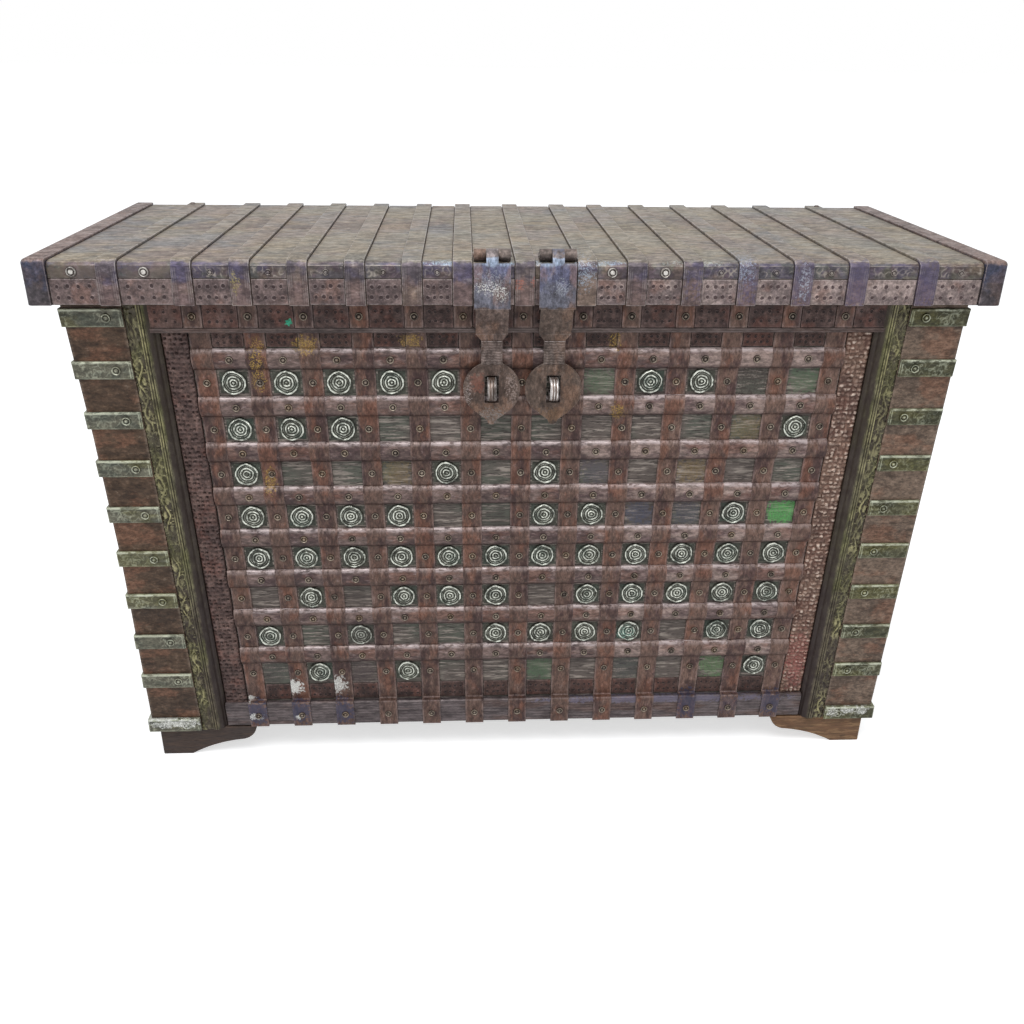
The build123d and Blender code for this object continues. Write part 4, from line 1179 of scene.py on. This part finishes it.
# %% Boxes of single solids
def solid_boxes(name):
    """Lowest and highest corner of every single solid in a node, from left to right."""
    bm = solid_copy(name)
    left, boxes = set(bm.verts), []
    while left:
        reached, front = set(), [left.pop()]
        while front:
            point = front.pop()
            reached.add(point)
            front += [v for e in point.link_edges for v in e.verts if v not in reached]
        left -= reached
        low = Vector([min(v.co[axis] for v in reached) for axis in range(3)])
        high = Vector([max(v.co[axis] for v in reached) for axis in range(3)])
        boxes.append((low, high))
    bm.free()
    return sorted(boxes, key=lambda box: (round(box[0].z, 3), box[0].x))


places = []
for low, high in solid_boxes("rail_straps"):
    places.append(on_front((low.x + high.x) / 2, low.y, (low.z + high.z) / 2))
strew("rail_nails", [nail(12)], places, "chest", nail_iron)
print("rail nails:", len(places))

# %% [markdown]
# ## Punched plates
#
# The plates between the straps are punched with two rows of dents.  The punch throws up a soft lip
# around each one, so a dent is a low crater that is spun from its profile.  Its middle is painted
# dark as shade.

# %% Punched plates
def crater(radius, lip):
    """A punched dent: a pit of the given radius inside a raised lip."""
    profile = [(0, 0.0001), (0.5, 0.0002), (0.66, lip), (0.8, 0.9 * lip), (1.15, -0.0003)]
    bm = turned([(share * radius, height) for share, height in profile], 9, crest=1.0)
    set_value(bm, "wear_and_highlight", [v for v in bm.verts if v.co.z > 0.95 * lip], 0.35)
    # The middle of each dent is painted dark as shade.
    set_value(bm, "grime_and_shade", [v for v in bm.verts if hypot(v.co.x, v.co.y) < 0.55 * radius], 0.9)
    return bm


def holes_on(boxes, columns=4, rows=2, margin=0.003):
    """Places for rows of dents on plates; they were punched by hand, so none sits quite true."""
    places, dice = [], Random(7)
    for low, high in boxes:
        wide, tall = high.x - low.x - 2 * margin, high.z - low.z - 2 * margin
        for column in range(columns):
            for row in range(rows):
                x = low.x + margin + wide * (column + 0.5 + dice.uniform(-0.1, 0.1)) / columns
                z = low.z + margin + tall * (row + 0.5 + dice.uniform(-0.06, 0.06)) / rows
                size = Matrix.Diagonal((dice.uniform(0.8, 1.1), dice.uniform(0.8, 1.1), 1, 1))
                places.append(on_front(x, low.y, z, dice.uniform(0, 3)) @ size)
    return places


lowest_punched = 0.01  # a lower plate has no room for dents
plates = [box for box in solid_boxes("pierced_plates") if box[1].z - box[0].z > lowest_punched]
front_holes = holes_on(plates)
strew("front_holes", [crater(0.0044, 0.0007)], front_holes, "chest", punched_iron, 25)
rim_holes = holes_on(solid_boxes("lid_rim_plates"))
strew("rim_holes", [crater(0.0052, 0.0008)], rim_holes, "lid", lit_rim_plate_iron, 25)
print("punched dents:", len(front_holes), "in front,", len(rim_holes), "on the lid")

# %% [markdown]
# ## Rosettes
#
# A rosette is a brass disc with a scalloped rim and thin rings round a boss, nailed over a dark
# square of sheet in an opening.  Many are lost.  The profile is spun, then noise bends the rings,
# because each was stamped by hand.  Three patterns take turns.

# %% Rosettes
rosette_profile = [
    (0, 0.0052), (0.0016, 0.0048), (0.0026, 0.0030), (0.0038, 0.0030), (0.0050, 0.0046),
    (0.0062, 0.0046), (0.0072, 0.0030), (0.0088, 0.0030), (0.0098, 0.0044), (0.0110, 0.0042),
    (0.0121, 0.0028), (0.0136, 0.0028), (0.0143, 0.0038), (0.0150, 0.0028), (0.0162, 0.0028),
    (0.0173, 0.0050), (0.0190, 0.0047), (0.0201, 0.0024), (0.0205, 0.0),
]
scalloped_from = 0.0165
backing = Matrix.Diagonal((0.044, 0.036, 0.0008, 1))


def rosette(seed):
    """One stamped rosette on its square of sheet."""
    bm = turned(rosette_profile, 44, crest=0.0037, pit=0.0031, soil_and_shade=0.75)
    for point in bm.verts:
        reach = hypot(point.co.x, point.co.y)
        if reach > 0.0001:
            way = Vector((point.co.x / reach, point.co.y / reach, 0))
            bend = 1 + 0.09 * noise.noise(1.3 * way + Vector((0, 0, seed + 80 * reach)))
            if reach > scalloped_from:
                around = Vector((way.x, way.y)).angle_signed(Vector((1, 0)), 0)
                bend *= 0.965 + 0.03 * abs(sin(7 * around))
            point.co.x *= bend
            point.co.y *= bend
            point.co.z *= 1 + 0.5 * noise.noise(2.4 * way + Vector((0, 0, seed - 200 * reach)))
    sheet = bmesh.ops.create_cube(bm, size=1, matrix=backing)["verts"]
    set_value(bm, "grime_and_shade", sheet, 0.65)
    return bm


rosette_places = []
for low, high in solid_boxes("rosettes"):
    rosette_places.append(on_front((low.x + high.x) / 2, wall_front, (low.z + high.z) / 2))
stamps = [rosette(seed) for seed in (1.0, 7.0, 13.0)]
rosettes = strew("brass_rosettes", stamps, rosette_places, "chest", rosette_brass, 60)
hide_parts("rosettes")
print("rosettes:", len(rosette_places))

# %% [markdown]
# ## Punched borders
#
# On either side of the lattice runs a leaning strip of punched sheet.  On the left the dents have
# worn down to short ridges that lie across the strip; on the right the metal stands up in small
# bright lumps.  No two are alike, so each cell shifts and deepens by its own amount.

# %% Punched borders
border_low, border_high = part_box("pierced_border_right")
border_top, border_base = border_high.z, border_low.z
border_width = border_high.x - border_low.x - slant * (border_top - border_base)
border_rows = round((border_top - border_base) / 0.0080)
border_columns = 5
tucked = 0.0037  # the sheet runs this far in under the pilaster's foot


def border_shape(side):
    """Ridges on the left (side -1) and lumps on the right (side 1)."""
    dice = Random(41 if side > 0 else 17)
    jitter = []
    for _ in range(border_rows * border_columns):
        jitter.append((dice.uniform(-0.25, 0.25), dice.uniform(-0.2, 0.2), dice.uniform(0.35, 1.0)))

    def shape(across, up):
        column = min(int(across * border_columns), border_columns - 1)
        row = min(int(up * border_rows), border_rows - 1)
        shift_x, shift_z, deep = jitter[row * border_columns + column]
        off_x = abs(across * border_columns - column - 0.5 - shift_x)
        off_z = abs(up * border_rows - row - 0.5 - shift_z)
        z = border_base + up * (border_top - border_base)
        if side > 0:
            ragged = 0.35 * dents(across * border_width, z, 0.0045, 3.0)
            tall = deep * (1 - soft_step(hypot(0.75 * off_x, off_z) + ragged, 0.16, 0.52))
            wear_and_highlight, grime_and_shade = min(1.0, 1.2 * tall * tall), 0.6 * (1 - tall)
        else:
            tall = 1 - deep * (1 - soft_step(max(0.85 * off_x, off_z), 0.10, 0.34))
            wear_and_highlight, grime_and_shade = 0.35 * deep * soft_step(off_z, 0.30, 0.5), 0.85 * (1 - tall)
        # Both long edges of the strip sink to the wall and are painted dark as shade.
        rim = 1 - abs(2 * across - 1) ** 14
        proud = (0.0022 + 0.0034 * tall) * (0.25 + 0.75 * rim)
        inner = slanted(border_high.x - border_width, z, border_top)
        x = side * (inner + (border_width + tucked) * (across if side > 0 else 1 - across))
        return Vector((x, wall_front - proud, z)), wear_and_highlight * rim, max(grime_and_shade, 1 - rim)

    return shape


for name, side, material in (
    ("pierced_border_left", -1, punched_iron),
    ("pierced_border_right", 1, border_iron),
):
    sheet = relief_sheet(
        name.replace("pierced", "punched"), border_columns * 7, border_rows * 6, border_shape(side),
        wall_front, "chest", material,
    )
    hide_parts(name)
    print(sheet.name, "faces:", len(sheet.data.polygons))

# %% [markdown]
# ## Carved pilasters
#
# A pilaster is a moulding next to a flat band with a vine.  The moulding slopes up from the lattice
# as a flank that is painted dark as shade and ends in three thin reeds, which are rubbed bright near
# the top.  The vine is a wave with a leaf in each bend.  Its carving is worn, so noise flattens whole
# stretches of it.

# %% Carved pilasters
pilaster_low, pilaster_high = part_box("pilaster_right")
pilaster_tall = pilaster_high.z - pilaster_low.z
bead_width, band_width = 0.027, 0.020  # the moulding and the flat band
wave = 0.052  # length of one wave of the vine


def vine(across, along):
    """How high the carving stands, from 0 to 1, at a place on the band in metres."""
    across += 0.0016 * dents(across, along, 0.008, 2.0)
    along += 0.0030 * dents(across, along, 0.015, 5.0)
    stem_x = 0.0045 * sin(2 * pi * along / wave)
    stem = 1 - soft_step(abs(across - stem_x), 0.0008, 0.0026)
    half = along / (wave / 2)
    bend = floor(half)
    leaf_x = across - (0.0036 if bend % 2 else -0.0036)
    leaf_z = (half - bend - 0.5) * wave / 2
    leaf = 1 - soft_step(hypot(leaf_x / 0.0045, leaf_z / 0.0080), 0.5, 1.0)
    return max(stem, leaf * (0.6 + 0.4 * abs(sin(leaf_z * 1500))))


def pilaster_shape(side):
    """The moulding and the carved band of the left (side -1) or right (side 1) pilaster."""

    def shape(across, up):
        z = pilaster_low.z + up * pilaster_tall
        inner = slanted(pilaster_high.x - bead_width - band_width, z, pilaster_high.z)
        span = across * (bead_width + band_width)
        x = side * (inner + span)
        share = span / bead_width
        lump = dents(x, z, 0.006, 3.0)
        if share < 1:
            reed = abs(sin(pi * 3 * (share - 0.55) / 0.45)) if share > 0.55 else 0.0
            rise = soft_step(share, -0.25, 0.60) if share < 0.6 else 1.0
            foot = 0.4 * (1 - soft_step(abs(share - 0.20), 0.0, 0.09))
            proud = 0.0005 + 0.0170 * rise + 0.0022 * reed * (1 - 0.4 * abs(lump)) - 0.003 * foot
            bright = 0.25 + 0.75 * soft_step(z + 0.08 * dents(0, z, 0.08, 6.0), 0.30, 0.62)
            broken = 0.3 + 0.7 * soft_step(dents(2 * share * bead_width, z, 0.030, 7.0), -0.25, 0.15)
            wear_and_highlight = bright * broken * (0.9 if share > 0.7 else 0.45) * reed ** 2 if share > 0.55 else 0.0
            # The sloping flank is painted dark as shade; the grooves between the reeds are darkened too.
            grime_and_shade = max(0.85 * (1 - soft_step(share, 0.45, 0.60)), 0.6 * (1 - reed) * (share > 0.6))
        else:
            raised = vine(span - bead_width - band_width / 2, z)
            kept = soft_step(dents(0, z, 0.060, 8.0 + side), -0.35, 0.30)
            crooked = 0.75 * filigree(span, z, 0.0085, 21.0 + side)
            raised = min(1.0, max(raised * (0.25 + 0.75 * kept), crooked) + 0.25 * max(0.0, lump))
            proud = 0.0160 + 0.0030 * raised
            proud -= 0.0025 * soft_step(span - bead_width, band_width - 0.0012, band_width)
            wear_and_highlight, grime_and_shade = 0.9 * raised * (0.15 + 0.85 * kept), 0.5 * (1 - raised)
        return Vector((x, wall_front - proud, z)), wear_and_highlight, grime_and_shade

    if side > 0:
        return shape
    return lambda across, up: shape(1 - across, up)


for name, side in (("pilaster_left", -1), ("pilaster_right", 1)):
    sheet = relief_sheet(
        "carved_" + name, 60, 480, pilaster_shape(side), wall_front,
        "chest", pilaster_brass,
    )
    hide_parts(name)
    print(sheet.name, "faces:", len(sheet.data.polygons))

# %% [markdown]
# ## Chased corner straps
#
# The straps that wrap the corners carry scrolls in low relief, a bead along the upper edge and a
# ring nail near the inner end.  The chasing lies on the front of each strap as a thin sheet, less
# than a millimetre and a half thick.

# %% Chased corner straps
strap_boxes = solid_boxes("corner_straps_left") + solid_boxes("corner_straps_right")
corner_nails = []
scroll_pitch, nail_inset = 0.021, 0.024
chasing_gap = 0.0006  # left free above and below


def scroll(along, rise):
    """Height of a worn running scroll, 0 to 1; both in metres from the strap's left and middle."""
    along += 0.0022 * dents(along, rise, 0.009, 1.0)
    rise += 0.0016 * dents(along, rise, 0.007, 6.0)
    cell = along / scroll_pitch
    turn = floor(cell)
    centre_z = 0.0030 if turn % 2 else -0.0030
    near = hypot((cell - turn - 0.5) * scroll_pitch, rise - centre_z)
    ring = 1 - soft_step(abs(near - 0.0064), 0.0005, 0.0026)
    worn = soft_step(dents(along, rise, 0.030, 8.0), -0.2, 0.3)
    return min(1.0, max(0.75 * ring * worn, 0.7 * filigree(along, rise, 0.0075, 3.0)))


def chased_shape(side, low, high, z_low, z_high, seed):
    """The front of one corner strap, from X low to high at its top."""

    def shape(across, up):
        z = z_low + chasing_gap + up * (z_high - z_low - 2 * chasing_gap)
        inner = slanted(low, z, z_high) + 0.0012
        outer = slanted(high, z, z_high) - 0.0016
        span = (across if side > 0 else 1 - across) * (outer - inner)
        rise = z - (z_low + z_high) / 2
        half = (z_high - z_low) / 2
        upper = soft_step(rise, half - 0.0042, half - 0.0030)
        lower = soft_step(-rise, half - 0.0026, half - 0.0016)
        kept = soft_step(dents(span, 0, 0.040, seed), -0.45, 0.15)
        close = 1 - soft_step(abs(span - 0.0025), 0.0004, 0.0014)
        field = scroll(span + 0.004, rise + 0.001) * (1 - upper) * (1 - lower) * (0.25 + 0.75 * kept)
        raised = max(field, upper, 0.8 * lower, close)
        rim = min(up, 1 - up) * 30
        proud = (0.0002 + 0.0011 * raised) * min(1.0, 0.3 + rim)
        x = side * (inner + span)
        wear_and_highlight = max(0.6 * field * kept, upper * (0.6 + 0.4 * kept), 0.3 * lower, 0.5 * close)
        return Vector((x, strap_front - proud, z)), wear_and_highlight, 0.55 * (1 - raised)

    return shape


for number, (low, high) in enumerate(strap_boxes):
    side = 1 if high.x > 0 else -1
    strap_front = low.y
    outer_top = high.x if side > 0 else -low.x
    inner_low = low.x if side > 0 else -high.x
    inner_top = inner_low + slant * (high.z - low.z)
    shape = chased_shape(side, inner_top, outer_top, low.z, high.z, 3.0 * number)
    relief_sheet(
        f"chased_strap_{number + 1:02d}", 90, 20, shape, strap_front + hair,
        "chest", corner_iron,
    )
    place = on_front(side * (inner_top + nail_inset), strap_front - 0.0012, (low.z + high.z) / 2)
    corner_nails.append(place @ Matrix.Scale(1.15, 4))
strew("corner_nails", [nail(12)], corner_nails, "chest", corner_iron)
print("chased straps:", len(strap_boxes))

# %% [markdown]
# ## The lid's embossed edge
#
# A ringed boss holds the sheets' turned-down edge between each two straps.  Two places on the left
# and two to the right of the hasps have only a large boss.  The others carry worn, crooked
# embossing round a smaller one.

# %% Embossed edge and bosses
boss_profile = [(0, 0.0034), (0.0030, 0.0028), (0.0042, 0.0012), (0.0060, 0.0026), (0.0080, -0.0003)]
boss_places, worn_places = [], []
edge_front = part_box("lid_sheets")[0].y
boss_rise = 0.0105  # from the top of the plates to the middle of the bosses
field_base, field_top = 0.002, 0.020  # where the embossing begins and ends above the plates


def embossed_shape(low, high, z_low, z_high, seed):
    """Crooked worn lines on a stretch of the lid's front edge."""

    def shape(across, up):
        x, z = low + across * (high - low), z_low + up * (z_high - z_low)
        kept = soft_step(dents(x, z, 0.025, seed + 5.0), -0.5, 0.1)
        rim = soft_step(min(up, 1 - up), 0.0, 0.15) * soft_step(min(across, 1 - across), 0.0, 0.06)
        line = filigree(x, z, 0.0095, seed) * (0.2 + 0.8 * kept) * rim
        return Vector((x, edge_front - 0.0002 - 0.0008 * line, z)), 0.95 * line, 0.32 * (1 - line)

    return shape


embossing = relief_bmesh()
for number, (low, high) in enumerate(solid_boxes("lid_rim_plates")):
    middle = (low.x + high.x) / 2
    plain = middle < -0.52 or 0.10 < middle < 0.26
    if not plain:
        field_low, field_high = high.z + field_base, high.z + field_top
        shape = embossed_shape(low.x + 0.001, high.x - 0.001, field_low, field_high, 2.0 * number)
        lay_grid(embossing, 56, 14, shape, edge_front + hair)
    place = on_front(middle, edge_front - 0.0003, high.z + boss_rise)
    if plain:
        boss_places.append(place @ Matrix.Scale(1.1, 4))
    else:
        worn_places.append(place @ Matrix.Scale(0.7, 4))
relief_piece(embossing, "embossed_edge", "lid", lid_iron)
for name, places, material in (
    ("lid_bosses", boss_places, boss_iron),
    ("worn_lid_bosses", worn_places, lid_iron),
):
    boss = turned(boss_profile, 12, crest=0.0025, pit=0.0013)
    strew(name, [boss], places, "lid", material)
print("bosses:", len(boss_places), "bright and", len(worn_places), "worn")

# %% [markdown]
# ## Strap fronts
#
# The turned-down front of a lid strap has two thin ridges along either side.  They fade out at both
# ends of the front, as a chisel lifts off.  The straps under the hasps stay plain.

# %% Strap fronts
strap_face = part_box("lid_straps")[0].y
front_base, front_tall, front_inset = 0.8715, 0.0585, 0.0012


def strap_front_shape(low_x, high_x):
    """Ridges on the front of one lid strap."""

    def shape(across, up):
        share = abs(2 * across - 1)
        outer = 1 - soft_step(abs(share - 0.86), 0.0, 0.09)
        inner = 0.8 * (1 - soft_step(abs(share - 0.62), 0.0, 0.09))
        x = low_x + front_inset + across * (high_x - low_x - 2 * front_inset)
        z = front_base + up * front_tall
        fade = min(1.0, 8 * min(up, 1 - up))
        ridge = max(outer, inner) * (0.6 + 0.4 * dents(x, z, 0.02, 2.0))
        grime_and_shade = 0.35 * (1 - ridge) * soft_step(share, 0.3, 0.5)
        return Vector((x, strap_face - hair - 0.0010 * ridge * fade, z)), 0.9 * ridge * fade, grime_and_shade

    return shape


bm = relief_bmesh()
for low, high in solid_boxes("lid_straps"):
    off_middle = abs(low.x + high.x) / 2
    if off_middle > 0.1 or off_middle < 0.01:  # the hasps cover the straps in between
        lay_grid(bm, 24, 10, strap_front_shape(low.x, high.x), strap_face + hair)
strap_fronts = relief_piece(bm, "strap_fronts", "lid", lid_strap_iron, 60)
print("strap fronts faces:", len(strap_fronts.data.polygons))

# %% [markdown]
# ## Rail reeds
#
# The rails are drawn with fine reeds along their length.  A cosine over the height gives all of
# them in one sheet, which takes far fewer points than a rod for each.

# %% Rail reeds
reed_inset = 0.002


def reeded_shape(name, z_low, z_high, reeds):
    """Reeds along a rail, between two heights."""
    low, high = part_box(name)

    def shape(across, up):
        x = low.x + reed_inset + across * (high.x - low.x - 2 * reed_inset)
        z = z_low + up * (z_high - z_low)
        reed = 0.5 - 0.5 * cos(2 * pi * reeds * up)
        reed *= 0.7 + 0.3 * dents(x, z, 0.02, 4.0)
        return Vector((x, low.y - hair - 0.0007 * reed, z)), 0.35 * reed, 0.25 * (1 - reed)

    return shape


for name, z_low, z_high, reeds in (("bottom_rail", 0.066, 0.110, 7), ("top_rail", 0.8205, 0.8275, 2)):
    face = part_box(name)[0].y
    relief_sheet(
        "reeded_" + name, 150, 8 * reeds, reeded_shape(name, z_low, z_high, reeds),
        face + hair, "chest", rail_iron,
    )
print("rail reeds done")

# %% [markdown]
# ## Rear knobs
#
# At the back of the lid two low knobs stand on the sheets, above the rear hinges.  Each is a
# profile spun round its axis, as on a lathe.

# %% Rear knobs
knob_profile = [
    (0, 0.0072), (0.0036, 0.0064), (0.0062, 0.0030), (0.0088, 0.0036), (0.0112, 0.0016), (0.0120, -0.0005),
]
lid_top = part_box("lid_sheets")[1].z
knob_y = 0.272
knob_places = [Matrix.Translation((x, knob_y, lid_top)) for x in (-0.6325, 0.6315)]
knob = turned(knob_profile, 20, crest=0.0068, pit=0.0031)
strew("rear_knobs", [knob], knob_places, "lid", hinge_iron)
print("rear knobs:", len(knob_places))

# %% [markdown]
# ## Ridged staples
#
# The bar of each staple has three round ridges that run over its bow.  A small ring of points is
# spun about the middle of the bow, and its ends are closed inside the bar.

# %% Ridged staples
staple_low, staple_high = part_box("staples")
staple_bow = (staple_high.z - staple_low.z) / 2
staple_middle = (staple_low.z + staple_high.z) / 2
ridge_pitch, ring_steps = 0.0044, 8
hasp_middles = (-0.05, 0.05)
bm = relief_bmesh()
for middle in hasp_middles:
    for number in (-1, 0, 1):
        ring = []
        for step in range(ring_steps):
            turned_by = 2 * pi * step / ring_steps
            x = middle + number * ridge_pitch + 0.0017 * sin(turned_by)
            y = staple_low.y + 0.0012 - 0.0015 * cos(turned_by)
            ring.append(bm.verts.new((x, y, staple_middle)))
        hub = Vector((middle, staple_low.y + staple_bow, staple_middle))
        loop = [bm.edges.new((ring[step - 1], ring[step])) for step in range(ring_steps)]
        bmesh.ops.rotate(bm, verts=ring, cent=hub, matrix=Matrix.Rotation(radians(-80), 3, "X"))
        bmesh.ops.spin(bm, geom=ring + loop, cent=hub, axis=(1, 0, 0), angle=radians(160), steps=18)
bmesh.ops.holes_fill(bm, edges=[e for e in bm.edges if e.is_boundary], sides=0)
for point in bm.verts:
    from_hub = hypot(point.co.y - hub.y, point.co.z - hub.z)
    if from_hub > staple_bow - 0.0004:
        set_value(bm, "wear_and_highlight", [point], 1.0 if point.co.x > 0 else 0.25)
    if from_hub < staple_bow - 0.0008:
        set_value(bm, "grime_and_shade", [point], 1.0)
relief_piece(bm, "staple_ridges", "chest", staple_steel, 60)
print("staple ridges done")

# %% [markdown]
# ## Ridged hasp necks
#
# The neck of each hasp is filed with fine zigzag ridges between the shoulder and the disc, under
# one sharp line across.

# %% Hasp necks
neck_wide, neck_base, neck_tall = 0.0325, 0.7705, 0.0385
file_pitch = 0.0026
disc_face = wall_front - 0.023


def neck_shape(middle):
    """Filed ridges on the neck of the hasp at one place in X."""

    def shape(across, up):
        x = middle + (across - 0.5) * neck_wide
        z = neck_base + up * neck_tall
        zig = abs(((across * 3) % 1) - 0.5) * 0.0016
        wave_share = 0.5 + 0.5 * cos(2 * pi * (z + zig) / file_pitch)
        line = soft_step(up, 0.965, 0.975)
        proud = max(0.0009 * wave_share, 0.0013 * line)
        grime_and_shade = 0.5 * (1 - wave_share) * (1 - line)
        return Vector((x, disc_face - hair - proud, z)), max(0.4 * wave_share, line), grime_and_shade

    return shape


for name, middle in zip(("hasp_left", "hasp_right"), hasp_middles):
    relief_sheet(name + "_neck", 18, 90, neck_shape(middle), disc_face + hair, name, hasp_iron)
print("hasp necks done")

# %% [markdown]
# ## Light, floor and backdrop
#
# The floor and the backdrop are a seamless white, so they are bright for the camera and for
# mirrors only.  The chest itself is lit at a plain level by a pale sky and one large soft lamp
# from above the viewer, which leaves a soft shadow on the floor.

# %% Light and floor
def seen_directly(tree):
    """1 for what the camera sees, also in a mirror or through glass, and 0 for all other light."""
    rays = node(tree, "LightPath").outputs
    mirrored = reckon(tree, "MAXIMUM", rays["Is Glossy Ray"], rays["Is Transmission Ray"])
    return reckon(tree, "MAXIMUM", rays["Is Camera Ray"], mirrored)


world = bpy.data.worlds.new("studio")
scene.world = world
world.use_nodes = True
tree = world.node_tree
seen = seen_directly(tree)
sky = tree.nodes["Background"]
tree.links.new(blended(tree, seen, (0.93, 0.96, 1.0, 1), (1, 1, 1, 1)), sky.inputs["Color"])
height = node(tree, "SeparateXYZ", {0: node(tree, "TexCoord").outputs["Generated"]}).outputs["Z"]
overhead = node(tree, "MapRange", {"Value": height, "To Min": 0.30, "To Max": 0.95}).outputs[0]
plain = node(tree, "MapRange", {"Value": seen, "To Min": overhead, "To Max": 1.0}).outputs[0]
tree.links.new(plain, sky.inputs["Strength"])

floor_bm = bmesh.new()
bmesh.ops.create_grid(floor_bm, x_segments=1, y_segments=1, size=60)
floor_mesh = bpy.data.meshes.new("studio_floor")
floor_bm.to_mesh(floor_mesh)
floor_bm.free()
studio_floor = bpy.data.objects.new("studio_floor", floor_mesh)
scene.collection.objects.link(studio_floor)
white, tree = blank_material("studio white")
paint = tree.nodes["Principled BSDF"]
paint.inputs["Base Color"].default_value = (0.72, 0.72, 0.72, 1)
paint.inputs["Roughness"].default_value = 0.9
paint.inputs["Specular IOR Level"].default_value = 0.0
paint.inputs["Emission Color"].default_value = (1, 1, 1, 1)
shine = node(tree, "MapRange", {"Value": seen_directly(tree), "To Min": 0.0, "To Max": 0.62}).outputs[0]
tree.links.new(shine, paint.inputs["Emission Strength"])
floor_mesh.materials.append(white)

lamp = bpy.data.objects.new("soft lamp", bpy.data.lights.new("soft lamp", "AREA"))
lamp.data.shape = "RECTANGLE"
lamp.data.size, lamp.data.size_y = 2.6, 1.4
lamp.data.energy = 52
lamp_place, chest_middle = Vector((-0.4, -1.3, 2.9)), Vector((0.0, 0.0, 0.55))
aim = (chest_middle - lamp_place).to_track_quat("-Z", "Y").to_matrix()
lamp.matrix_world = Matrix.Translation(lamp_place) @ aim.to_4x4()
scene.collection.objects.link(lamp)
print("light and floor done")
